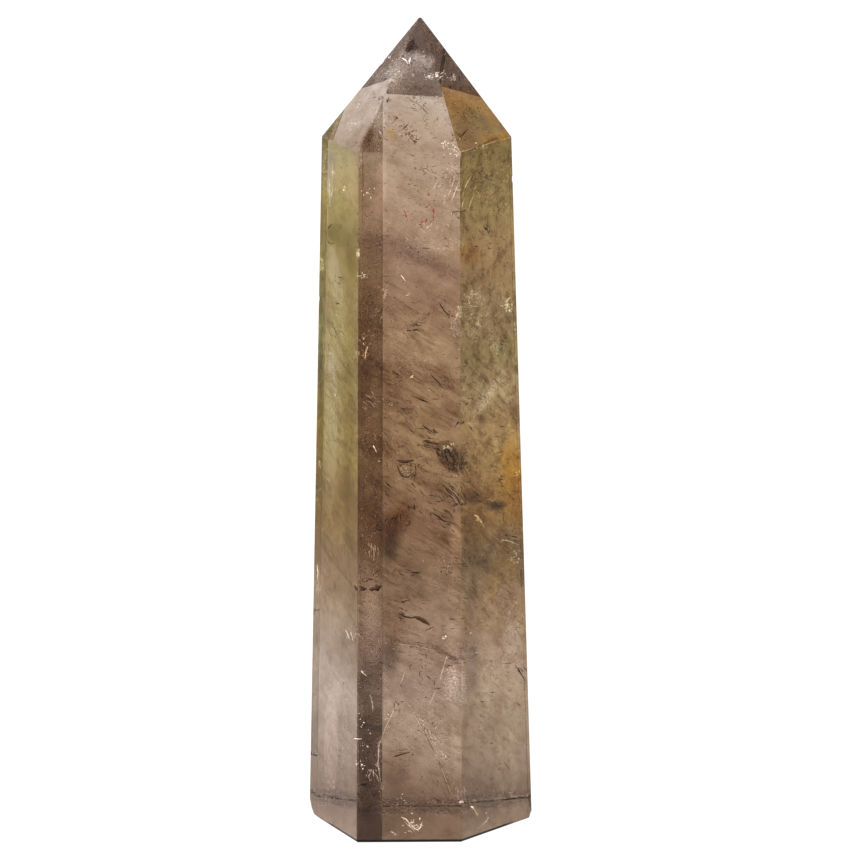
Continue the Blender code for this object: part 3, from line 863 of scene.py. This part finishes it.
BROWN_KNOTS = (
    # near the base, beads along the feather
    (506, 766, 4.5, 3, 18, 0.45, 0.26, 50, 60), (398, 752, 7, 6, 16, 0.6, 0.26, -10, 30),
    (425, 730, 3, 5, 12, 0.7, 0.22, 62, 30), (441, 765, 3, 5, 14, 0.7, 0.22, 62, 30),
    (451, 793, 2.5, 5, 10, 0.6, 0.2, 62, 30),
    # the point's right facet, high in the strip
    (474, 110, 7, 3, 26, 0.35, 0.24, 50, 60), (482, 128, 7, 3, 24, 0.35, 0.22, 50, 60),
    (458, 124, 5, 4, 14, 0.4, 0.24, 50, 60), (470, 165, 8, 3, 24, 0.5, 0.2, 60, 60),
    (366, 205, 8, 3, 26, 0.45, 0.2, 40, 60), (367, 245, 7, 3, 20, 0.45, 0.2, 40, 60),
    # tangles high on the right
    (482, 178, 8, 4, 44, 0.8, 0.22, 60, 60), (492, 205, 8, 4, 34, 0.8, 0.18, 40, 60),
    (484, 240, 9, 4, 28, 0.8, 0.18, 30, 60), (500, 330, 9, 3, 16, 0.8, 0.16, 50, 60),
    # dusky patches, the fan and the loop
    (394, 378, 6, 5, 22, 0.8, 0.3, 20, 30), (404, 407, 6, 5, 26, 0.9, 0.32, 25, 30),
    (450, 380, 7, 5, 20, 1, 0.2, 48, 15), (372, 388, 5, 4, 14, 0.9, 0.24, 30, 40),
    (368, 443, 5, 4, 16, 0.9, 0.28, 30, 50), (475, 495, 7, 3, 16, 2, 0.15, 8, 10),
    (500, 490, 9, 3, 12, 2, 0.12, 4, 8), (470, 460, 5, 4, 16, 1.3, 0.2, 85, 30),
    # the mauve band and the arc
    (385, 248, 12, 5, 18, 0.4, 0.24, 20, 60), (404, 318, 9, 6, 22, 0.9, 0.22, 30, 60),
    # grain at both sides
    (512, 572, 6, 2, 34, 0.5, 0.18, 70, 60), (507, 600, 8, 2, 34, 0.4, 0.16, 75, 50),
    (480, 560, 8, 3, 24, 0.6, 0.16, 80, 40), (430, 700, 14, 6, 24, 0.5, 0.16, 30, 60),
    (337, 650, 6, 2, 20, 0.8, 0.12, 85, 20),
    # the point and the triangle, the left edge
    (412, 101, 4, 6, 8, 0.5, 0.24, 30, 40), (424, 107, 3, 6, 7, 0.5, 0.26, 50, 50),
    (394, 118, 3.5, 5, 9, 0.5, 0.28, 70, 40), (404, 128, 3, 4, 8, 0.5, 0.4, 20, 50),
    (411, 135, 3.5, 4, 12, 0.5, 0.42, 50, 50), (416, 141, 2, 4, 5, 0.4, 0.4, 60, 50),
    (428, 122, 3, 6, 8, 0.4, 0.24, 0, 90), (461, 112, 4, 4, 10, 0.6, 0.28, 60, 60),
    (462, 134, 3, 4, 9, 0.6, 0.34, -50, 40), (449, 106, 4, 4, 9, 0.5, 0.22, 0, 90),
    (486, 122, 6, 3, 12, 0.5, 0.2, 50, 60), (394, 84, 3, 4, 12, 0.5, 0.26, 20, 90),
    (396, 68, 2, 4, 6, 0.5, 0.24, -70, 20), (474, 118, 5, 3, 10, 0.5, 0.22, 40, 60),
    (410, 47, 3, 2, 12, 0.5, 0.36, 60, 40), (370, 128, 4, 2, 22, 0.5, 0.3, 120, 40),
    (365, 142, 4, 2, 18, 0.5, 0.3, 60, 60), (322, 457, 2, 1.2, 9, 0.8, 0.16, 70, 25),
)
BRIGHT_THREADS = (
    # the middle, the left, the right face's edge
    (3, 0.26, 0, 401, 275, 404, 279, 406, 282), (0.8, 0.09, 0, 319, 458, 320, 464, 321, 470),
    (0.8, 0.34, 0, 357, 249, 357, 253, 357, 258), (0.8, 0.3, 0, 317, 564, 318, 573, 317, 582),
    (1.2, 0.08, 0, 333, 160, 332, 182, 333, 200), (1.2, 0.11, 0, 329, 176, 330, 190, 329, 207),
    (1.5, 0.14, 0, 462, 208, 463, 203, 464, 198), (1.5, 0.14, 0, 468, 210, 471, 202, 474, 195),
    (1.5, 0.15, 0, 462, 197, 466, 185, 472, 175),
    # the V in the point
    (1, 0.36, 0, 402, 58, 406, 60.5, 409, 64), (1, 0.28, 0, 409, 64, 410, 60, 411, 57),
    # the strip, the comma, the right edge
    (3, 0.26, 0, 368, 346, 366, 352, 365, 360), (1.8, 0.7, 0, 474, 515, 478, 517, 481, 521, 484, 527),
    (1.5, 0.5, 0, 501, 540, 509, 541, 519, 545),
    # the foot, chips low on the left
    (1.2, 0.34, 0, 401, 817, 406, 819, 409, 823, 414, 827, 418, 831),
    (1.2, 0.26, 0, 413, 828, 418, 830, 421, 827, 422, 822), (1.2, 0.9, 0, 471, 806, 475, 811, 478, 816),
    (1, 0.18, 0, 345, 629, 348, 635, 350, 641), (1, 0.16, 0, 350, 632, 352, 637, 354, 642),
    (1.2, 0.24, 0, 361, 671, 364, 674, 367, 676), (2, 0.28, 0, 373, 445, 375, 449, 377, 453),
)
BRIGHT_KNOTS = (
    # the point, scratches on the left
    (430, 77.5, 2.2, 1.2, 12, 0.3, 0.17, 0, 40), (440, 75, 2.2, 1.2, 16, 0.32, 0.19, 0, 40),
    (453, 78, 1.5, 1, 6, 0.34, 0.2, 0, 40), (421, 58, 3.5, 1.2, 10, 0.34, 0.1, 0, 60),
    (389, 58, 2, 1, 5, 0.34, 0.16, -40, 40), (331, 172, 2.2, 1.2, 14, 0.8, 0.08, 88, 8),
    (330, 195, 1.8, 1.2, 12, 0.8, 0.08, 88, 8), (320, 464, 1.8, 1, 7, 0.8, 0.07, 70, 20),
    # the right face
    (516, 556, 4, 2, 26, 0.5, 0.18, 0, 90), (516, 327, 3, 1.2, 12, 0.9, 0.14, -75, 20),
    (508, 172, 6, 3, 18, 0.7, 0.14, -60, 40), (500, 195, 9, 3, 34, 0.8, 0.13, -60, 30),
    (497, 345, 4, 2, 18, 0.9, 0.21, -70, 30), (477, 322, 4, 2.5, 18, 0.7, 0.14, 0, 90),
    (474, 300, 6, 2.5, 30, 0.8, 0.14, -50, 60),
    # the foot of the strip, the shoulder
    (363, 764, 2.6, 2, 5, 0.5, 0.22, 60, 50), (362, 722, 3, 2, 3, 0.5, 0.16, 80, 30),
    (373, 775, 3, 2, 4, 0.4, 0.14, 80, 50), (453, 148, 5, 0.9, 8, 0.5, 0.16, 20, 60),
    (483, 149, 5, 1.5, 10, 0.5, 0.26, 0, 60), (368, 192, 2.6, 1.5, 12, 0.35, 0.16, 0, 90),
    (363, 275, 3, 1.5, 9, 0.5, 0.15, 0, 60),
    # the right edge, the cluster, low down
    (507, 303, 3, 1.5, 16, 0.7, 0.3, -60, 50), (518, 364, 1.5, 1, 8, 0.8, 0.3, 80, 20),
    (446, 448, 3, 3.5, 9, 0.5, 0.34, 20, 60), (517, 474, 2, 1, 8, 0.6, 0.3, 40, 60),
    (478, 520, 4, 2, 8, 0.5, 0.24, 50, 30), (352, 637, 4, 1.2, 6, 0.7, 0.12, 60, 30),
    (365, 744, 2.6, 2, 6, 0.45, 0.2, 70, 50), (461, 803, 1, 2, 4, 0.35, 0.18, 60, 40),
    (412, 825, 5, 1.2, 16, 0.6, 0.22, 40, 40), (342, 191, 4, 1.5, 16, 0.4, 0.17, 70, 40),
)
PALE_THREADS = (
    # the crack, the shoulder, streaks below it
    (2, 0.2, 0, 461, 305, 458, 313, 455, 322, 453, 334),
    (0.9, 0.16, 0, 443, 149, 447, 144, 452, 143, 456, 147, 463, 154),
    (3, 0.14, 0, 433, 190, 437, 182, 440, 176), (3, 0.16, 0, 447, 200, 452, 186, 456, 173),
    (3, 0.16, 0, 451, 203, 456, 190, 460, 178),
    # the fan and the smudge
    (4, 0.14, 0, 447, 487, 455, 493, 462, 502), (4, 0.14, 0, 444, 490, 453, 497, 460, 506, 468, 508),
    (4, 0.16, 0, 468, 500, 482, 499, 502, 502), (1.5, 0.3, 0, 508, 537, 514, 539, 519, 539),
    # veils low down, the long feather, the foot
    (6, 0.16, 1, 391, 643, 415, 646, 441, 652), (4, 0.22, 0, 446, 658, 443, 670, 439, 684),
    (4, 0.16, 0, 436, 690, 433, 697, 429, 706), (4, 0.14, 0, 405, 672, 402, 680, 399, 686),
    (1.5, 0.2, 0, 370, 694, 372, 702, 373, 712), (3, 0.12, 0, 410, 706, 426, 735, 440, 765, 455, 804),
    (3, 0.16, 0, 399, 700, 388, 722, 379, 745, 378, 765, 382, 790),
    (1.2, 0.26, 0, 404, 821, 410, 827, 416, 833), (1.2, 0.3, 0, 391, 831, 395, 834, 399, 835),
    (1.2, 0.18, 0, 486, 812, 488, 819, 482, 826, 476, 829), (2, 0.26, 0, 473, 654, 477, 653, 482, 652),
)
PALE_KNOTS = (
    # the line in the strip, the crack
    (384, 290, 2.4, 3, 9, 0.5, 0.2, -60, 40), (375, 315, 4, 4, 9, 0.6, 0.1, -62, 12),
    (367, 338, 4, 4, 8, 0.7, 0.12, -62, 20), (454, 328, 2.2, 2, 16, 0.6, 0.24, -80, 25),
    (457, 315, 3, 2, 8, 0.5, 0.14, -70, 20),
    # pale patches high up
    (490, 178, 9, 2, 30, 0.6, 0.14, 60, 60), (500, 212, 8, 2, 26, 0.6, 0.14, -50, 60),
    (497, 285, 9, 2, 26, 0.6, 0.14, 20, 60), (485, 338, 10, 2, 26, 0.6, 0.14, 60, 60),
    (450, 192, 7, 3, 34, 0.8, 0.1, -62, 25), (435, 226, 9, 3, 30, 0.7, 0.1, -40, 60),
    (511, 608, 7, 1.6, 40, 0.4, 0.14, 80, 60),
    # the shoulder, the point, the middle
    (446, 146, 3, 0.9, 14, 0.6, 0.28, 20, 60), (459, 152, 2.6, 0.9, 12, 0.6, 0.28, 30, 60),
    (424, 60, 5, 1.5, 24, 0.4, 0.11, 0, 60), (388, 72, 8, 1.5, 40, 0.7, 0.08, -35, 20),
    (352, 122, 5, 1.5, 16, 0.6, 0.16, 30, 60), (424, 227, 5, 5, 10, 0.9, 0.1, -55, 20),
    (497, 240, 8, 3, 12, 1.1, 0.11, 20, 20), (385, 292, 2, 3, 8, 0.8, 0.19, -60, 30),
    (492, 392, 12, 3, 40, 0.6, 0.11, -50, 20), (406, 471, 4, 5, 12, 0.7, 0.14, 0, 90),
    # the strip, the rings
    (372, 403, 5, 3, 12, 1.6, 0.13, 40, 10), (367, 352, 4, 3, 14, 0.9, 0.13, -70, 20),
    (448, 568, 6, 4.5, 20, 0.5, 0.13, 0, 90), (374, 552, 4, 3, 16, 1.4, 0.1, 88, 5),
    # low down, the feather, the foot
    (512, 618, 8, 2, 40, 0.5, 0.13, 0, 90), (452, 683, 6, 3, 36, 0.8, 0.13, -60, 40),
    (486, 668, 5, 3, 12, 0.8, 0.13, 85, 15), (374, 775, 4, 2, 20, 0.9, 0.13, 75, 15),
    (440, 755, 6, 5, 18, 0.8, 0.11, 20, 15), (457, 792, 2.5, 5, 9, 0.7, 0.1, 65, 15),
    (397, 800, 4, 3, 9, 0.4, 0.22, 0, 90), (505, 790, 5, 2, 12, 0.7, 0.16, 75, 20),
    (317, 590, 2, 0.9, 16, 1, 0.19, 88, 8),
)
RED_SPECKS = (
    (6, 0.3, 0, 403, 210, 406, 213), (6, 0.26, 0, 411, 219, 414, 221), (6, 0.5, 0, 427, 193, 430, 196),
    (6, 0.45, 0, 433, 208, 434, 214), (6, 0.4, 0, 427, 218, 425, 223), (6, 0.4, 0, 405, 213, 407, 218),
    (6, 0.34, 0, 434, 214, 433, 219, 430, 223), (6, 0.34, 0, 423, 221, 421, 224),
)
RED_KNOTS = (
    (430, 205, 3.5, 6, 12, 0.45, 0.26, 60, 60), (406, 214, 3, 6, 8, 0.4, 0.22, 60, 60),
    (424, 222, 3, 6, 6, 0.4, 0.22, 0, 60),
)
# Strokes of small flakes: their spread in pixels, least and greatest depth in mm (below
# zero, from the far side), how many, their length and width in mm, and then the path.
SMOKE_WISPS = (
    # before the ground line, flakes that paint a soft shade along it; in the smudge
    (1.4, 0.6, 1.8, 180, 0.3, 0.12, 312, 794.5, 330, 797, 357, 800),
    (1.4, 0.6, 1.8, 220, 0.3, 0.12, 464, 801.6, 529, 795.6),
    (1.4, 0.8, 3, 420, 0.45, 0.1, 484, 503, 496, 505, 504, 508),
    # before the far edge of the base, flakes that paint a soft shade along it
    (1, 0.8, 2.4, 200, 0.3, 0.12, 383, 805, 461, 803.5),
    (2, -4, -1.2, 1500, 0.2, 0.1, 382, 803.5, 462, 802.5),
    (2.4, -4, -1.2, 700, 0.2, 0.1, 313, 788, 318, 792, 357, 797),
    (2, -4, -1.2, 1300, 0.2, 0.1, 463, 801, 529, 794),
    # the mauve band, the strip
    (2.2, 1, 8, 1500, 0.2, 0.07, 358, 231, 383, 238, 409, 245, 432, 258, 460, 274),
    (8, 2, 20, 2200, 0.2, 0.07, 360, 240, 400, 252, 455, 270),
    (7, 2, 10, 900, 0.35, 0.07, 366, 285, 372, 330, 368, 380),
    (7, 2, 10, 900, 0.35, 0.07, 368, 400, 372, 450, 372, 520),
    # the cluster, the smudge, the blotch
    (7, 5, 9, 1200, 0.42, 0.12, 424, 440, 445, 452, 459, 470),
    (4, 4, 8, 560, 0.34, 0.09, 464, 446, 472, 458, 475, 474),
    (3, 4, 8, 1120, 0.34, 0.09, 462, 499, 480, 502, 507, 508), (3, 4, 8, 240, 0.42, 0.08, 488, 494, 500, 488),
    (5, 5, 9, 1040, 0.34, 0.09, 408, 503, 398, 520, 390, 533),
    # slopes and arcs
    (2.5, 6, 30, 1920, 0.34, 0.07, 390, 641, 415, 645, 441, 652, 460, 661),
    (4, 6, 30, 1600, 0.34, 0.07, 392, 352, 420, 372, 458, 392),
    (4, 4, 26, 1760, 0.34, 0.07, 362, 392, 385, 404, 430, 432),
    (5, 4, 26, 2080, 0.34, 0.07, 365, 440, 400, 462, 460, 508),
    (2, 6, 12, 720, 0.34, 0.08, 386, 300, 394, 318, 404, 328, 425, 318, 440, 305),
    # the left face, the right face
    (4, 2, 16, 500, 0.26, 0.08, 324, 229, 334, 220, 349, 230),
    (2, 3, 20, 320, 0.42, 0.07, 326, 300, 336, 335, 350, 372),
    (2, 3, 20, 240, 0.42, 0.07, 324, 360, 332, 390, 342, 430),
    (3, 3, 12, 208, 0.34, 0.12, 341, 730, 344, 750, 342, 775),
    (6, 3, 18, 960, 0.3, 0.09, 468, 170, 478, 190, 492, 205),
    (8, 4, 24, 1280, 0.3, 0.09, 466, 560, 485, 580, 505, 575),
    (7, 2, 8, 720, 0.26, 0.12, 500, 595, 510, 620, 520, 640),
    # the point, the strip's right edge
    (5, 2, 10, 560, 0.26, 0.09, 365, 125, 374, 140, 372, 150),
    (1.6, 8, 16, 560, 0.26, 0.09, 402, 92, 420, 95, 439, 97),
    (3.6, 0.6, 4, 900, 0.35, 0.07, 384, 345, 386, 400, 384, 470),
    (3.6, 0.6, 4, 650, 0.35, 0.07, 385, 610, 386, 650, 384, 700),
)
PALE_VEILS = (
    # before the ground line: pale flakes, painted light that softens its dark line
    (0.7, 0.4, 1.2, 60, 0.3, 0.12, 310.5, 754, 318, 754),
    (1, 0.5, 1.6, 150, 0.3, 0.12, 312, 794.5, 330, 797, 357, 800),
    (1, 0.5, 1.6, 170, 0.3, 0.12, 464, 801.6, 529, 795.6),
    # haze in the point
    (3.2, 0.5, 4, 1500, 0.12, 0.06, 378, 64, 392, 50, 406, 34),
    (3, 0.5, 4, 1600, 0.12, 0.06, 414, 56, 424, 60, 432, 66),
    # before the far edge of the base: pale flakes, painted light that softens the dark line there
    (2.4, -4, -1.2, 600, 0.2, 0.1, 382, 804, 462, 803),
    (2.4, -4, -1.2, 600, 0.2, 0.1, 313, 789, 318, 793, 357, 799),
    (2.4, -4, -1.2, 600, 0.2, 0.1, 463, 802, 529, 795),
    # the point again
    (6, 1, 10, 6000, 0.12, 0.06, 375, 82, 400, 70, 425, 60),
    (3, 1, 5, 2200, 0.12, 0.06, 404, 56, 418, 57, 432, 60),
    (7, 1, 8, 2400, 0.14, 0.06, 350, 130, 366, 110, 380, 92),
    # streaks and swirls high up and on the right
    (4, 2, 9, 700, 0.5, 0.09, 441, 202, 448, 182, 456, 166),
    (0.8, 2, 3, 150, 0.6, 0.1, 463, 196, 466, 180, 471, 166),
    (0.8, 2, 3, 120, 0.6, 0.1, 468, 212, 472, 198, 476, 186),
    (5, 2, 8, 900, 0.3, 0.12, 500, 180, 506, 205, 502, 222),
    (3, 2, 7, 1100, 0.35, 0.12, 468, 292, 480, 296, 486, 310, 478, 325, 468, 332),
    (2.5, 1, 4, 600, 0.35, 0.12, 490, 345, 498, 337, 501, 350, 494, 359),
    (2.8, 4, 9, 1900, 0.3, 0.1, 506, 373, 490, 392, 470, 426),
    (1.8, 1, 3, 420, 0.5, 0.12, 459, 316, 453, 327, 457, 337),
    # the low cloud, the long feather
    (7, 2, 10, 2200, 0.3, 0.12, 446, 668, 455, 685, 452, 702),
    (1, 3, 5, 200, 0.6, 0.12, 446, 658, 443, 670, 440, 684),
    (1.6, 3, 6, 230, 0.4, 0.08, 411, 706, 427, 733, 443, 762, 455, 790, 460, 802),
    (1.4, 2, 5, 200, 0.4, 0.08, 405, 698, 390, 722, 379, 745, 378, 766, 383, 790),
    (11, 2, 9, 1800, 0.26, 0.09, 404, 690, 430, 720, 445, 745),
    # the left face, above the band; low down, pale flakes paint a soft reflection
    (5, 1, 4, 1500, 0.3, 0.1, 330, 690, 331, 740, 331, 790),
    (5, 1, 3.5, 800, 0.3, 0.1, 345, 680, 347, 720, 346, 780),
    (1.6, 1, 3, 500, 0.6, 0.12, 330, 150, 331, 180, 330, 208),
    (3, 1, 4, 900, 0.5, 0.09, 329, 345, 331, 400, 329, 460),
    (5, 3, 12, 700, 0.3, 0.12, 405, 246, 440, 248, 458, 240),
)
GLINTS = (
    # the point, the shoulder, edges of the strip
    (0.6, 0.6, 1.2, 6, 0.5, 0.16, 403, 59, 408, 63, 410, 58), (1, 0.5, 1, 6, 0.5, 0.23, 386, 57, 391, 58),
    (1.5, 0.6, 1.8, 110, 0.24, 0.13, 425, 78, 434, 75, 444, 78, 455, 79),
    (5, 0.8, 4, 35, 0.2, 0.09, 395, 66, 412, 62, 430, 60, 440, 66),
    (1.5, 0.5, 1.5, 13, 0.35, 0.16, 441, 147, 446, 143, 453, 148, 463, 153),
    (1, 0.4, 1, 8, 0.4, 0.14, 360, 154, 361, 164), (0.6, 0.4, 1, 6, 0.5, 0.2, 357, 249, 356, 258),
    # the middle, the strip
    (0.6, 1, 2, 3, 0.6, 0.23, 407, 295, 411, 294), (0.8, 1, 2, 4, 0.6, 0.27, 410, 377, 413, 376),
    (0.8, 1, 2, 4, 0.5, 0.27, 389, 405, 393, 404), (1, 1, 2, 3, 0.4, 0.14, 374, 446, 376, 452),
    (0.8, 1, 2, 8, 0.7, 0.18, 362, 335, 366, 345, 364, 356), (1, 3, 4.5, 9, 0.5, 0.25, 443, 448, 452, 450),
    # the right face
    (2, 0.8, 2, 18, 0.5, 0.23, 504, 298, 508, 306, 511, 312),
    (0.8, 1, 2, 14, 0.6, 0.23, 474, 514, 479, 518, 484, 527),
    (1.3, 1, 2, 12, 0.5, 0.23, 500, 540, 507, 542, 514, 545),
    (1.4, 0.6, 2, 8, 0.4, 0.23, 473, 146, 482, 149, 488, 147),
    # low down
    (1, 1, 2, 7, 0.6, 0.27, 443, 640, 446, 636), (0.7, 1, 2, 4, 0.5, 0.27, 469, 633, 472, 632),
    (0.8, 1, 2, 2, 0.4, 0.14, 362, 671, 366, 675), (0.5, 1, 2, 5, 0.7, 0.16, 371, 697, 373, 708),
    (1.8, 0.5, 2, 6, 0.5, 0.14, 345, 632, 350, 638, 354, 642),
    # the strip's foot, the foot
    (3, 0.8, 3, 7, 0.3, 0.12, 362, 705, 366, 735, 363, 765),
    (3.4, 0.8, 3, 8, 0.3, 0.12, 361, 744, 366, 760, 370, 790),
    (1.2, 0.8, 3, 4, 0.4, 0.12, 372, 764, 376, 790, 382, 793), (2.5, 1, 3, 12, 0.5, 0.2, 383, 716, 388, 720),
    (2.5, 1, 3, 7, 0.4, 0.2, 394, 797, 406, 801),
    (1.4, 0.8, 1.5, 22, 0.45, 0.13, 401, 817, 407, 820, 411, 826, 417, 830, 422, 824),
    (0.6, 0.8, 1.5, 5, 0.6, 0.18, 391, 832, 398, 836),
    (0.6, 0.8, 1.5, 8, 0.5, 0.16, 486, 812, 488, 820, 480, 828),
    (0.7, 3, 5, 18, 0.6, 0.14, 416, 710, 438, 746, 452, 772),
)
AMBER_STAINS = (
    (5, 1, 5, 1200, 0.14, 0.07, 446, 98, 456, 96, 468, 104),
    (3, 0.8, 4, 1300, 0.22, 0.12, 482, 139, 508, 137),
    (8, 1, 8, 3600, 0.22, 0.12, 508, 452, 514, 485, 516, 525),
    (7, 1, 6, 1600, 0.22, 0.12, 505, 545, 515, 565, 512, 585),
    (1, 0.8, 1.5, 90, 0.4, 0.2, 472, 807, 475, 812, 478, 815),
    (3.5, 2, 8, 700, 0.25, 0.12, 463, 248, 470, 258, 482, 262),
    (3, 2, 6, 420, 0.25, 0.12, 504, 283, 514, 297), (5, 6, 12, 160, 0.16, 0.08, 400, 214, 412, 222, 424, 214),
    (2.5, 3, 5, 150, 0.3, 0.16, 389, 130, 395, 141), (4, 6, 9, 400, 0.25, 0.12, 405, 505, 396, 520),
)
# So many times the points that are wanted are drawn, and then thinned out.
OVERDRAW = 4
# Fine slivers everywhere, thickest in the smoky middle: how many, the heights in mm, their
# length and width in mm, and the way they run. They keep to the right of the left face.
DRIFTS = (
    (1300, 55, 125, 1, 0.1, (0.8, 0.25, -0.45)), (600, 80, 110, 1.3, 0.12, (0.75, 0.35, -0.5)),
    (700, 120, 175, 0.8, 0.09, (0.7, 0.3, -0.3)), (800, 20, 60, 0.9, 0.1, (0.9, 0.25, -0.1)),
    (300, 3, 25, 0.7, 0.09, (0.6, 0.3, -0.6)), (160, 168, 188, 0.8, 0.12, (0.5, 0.3, -0.7)),
)
DRIFT_SPARSE, DRIFT_LEFT, DRIFT_JITTER = 0.5, -9 * MM, 0.35
# Dust: how many flakes, the heights in mm, and their length and width in mm.
SMOKE_DUST = (12000, 5, 170, 0.26, 0.10)
PALE_DUST = (6500, 34, 190, 0.18, 0.08)
GLINT_DUST = (330, 34, 185, 0.25, 0.14)
DUST_SPARSE, DUST_PATCHES, DUST_JITTER = 0.3, 9 * MM, 0.8
DUST_WAY = (0.7, 0.3, -0.4)


def threads(heap, single, knots):
    """The slivers of one table and the knots of another."""
    for depth, width, slant, *path in single:
        needle(heap, np.reshape(path, (-1, 2)), depth, width, slant)
    for row in knots:
        knot(heap, row[:2], *row[2:])


def strokes(heap, table, jitter=0.4, clump=0.6):
    """Every stroke of a table."""
    for row in table:
        stroke(heap, np.reshape(row[6:], (-1, 2)), *row[:6], jitter, clump)


def drift(heap, count, low, high, length, width, way):
    """Fine slivers in patches between two heights."""
    chosen = thinned(inside_points(OVERDRAW * count, low, high), DRIFT_SPARSE)
    chosen = chosen[chosen[:, 0] > DRIFT_LEFT][:count]
    lay_flakes(heap, chosen, unit(np.array(way)), length * MM, width * MM, DRIFT_JITTER)


def dust(heap, count, low, high, length, width):
    """Fine flakes in wide patches through the stone."""
    chosen = thinned(inside_points(OVERDRAW * count, low, high), DUST_SPARSE, DUST_PATCHES)[:count]
    lay_flakes(heap, chosen, DUST_WAY, length * MM, width * MM, DUST_JITTER)


def dark_slivers():
    """The needles that stand out and the drifts of fine ones."""
    heap = Heap("dark_slivers", "dark_mineral")
    threads(heap, NEEDLES, DARK_KNOTS)
    for values in DRIFTS:
        drift(heap, *values)
    heap.finish()


def smoke_wisps():
    """Brown wisps, slivers and dust."""
    heap = Heap("smoke_wisps", "smoke")
    strokes(heap, SMOKE_WISPS)
    threads(heap, BROWN_NEEDLES, BROWN_KNOTS)
    dust(heap, *SMOKE_DUST)
    heap.finish()


def pale_veils():
    """Pale veils, threads and dust."""
    heap = Heap("pale_veils", "pale_veil")
    strokes(heap, PALE_VEILS)
    threads(heap, PALE_THREADS, PALE_KNOTS)
    dust(heap, *PALE_DUST)
    heap.finish()


def glints():
    """Bright cracks and sparks."""
    heap = Heap("glints", "glint")
    strokes(heap, GLINTS, jitter=0.5, clump=0)
    threads(heap, BRIGHT_THREADS, BRIGHT_KNOTS)
    dust(heap, *GLINT_DUST)
    heap.finish()


def amber_stains():
    """Iron stains in clouds of fine flakes."""
    heap = Heap("amber_stains", "iron_stain")
    strokes(heap, AMBER_STAINS, jitter=0.6)
    heap.finish()


def red_specks():
    """Red specks high up in the middle."""
    heap = Heap("red_specks", "red_mineral")
    threads(heap, RED_SPECKS, RED_KNOTS)
    heap.finish()


bpy.context.scene.view_settings.view_transform = "Standard"
INCLUSIONS = bpy.data.collections.new("inclusions")
CAMERA = add_camera()
NORMALS, OFFSETS = flat_faces()
add_world()
add_floor()
for lamp_name, lamp_values in SOFTBOXES.items():
    add_softbox(lamp_name, *lamp_values)
TOWER.data.materials.clear()
TOWER.data.materials.append(quartz_material())

# Light falls through clear stone on what lies in it.
TOWER.visible_shadow = False
TOWER.visible_diffuse = False

# Each draws from the same random numbers in turn, so their order matters.
dark_slivers()
smoke_wisps()
pale_veils()
glints()
amber_stains()
red_specks()
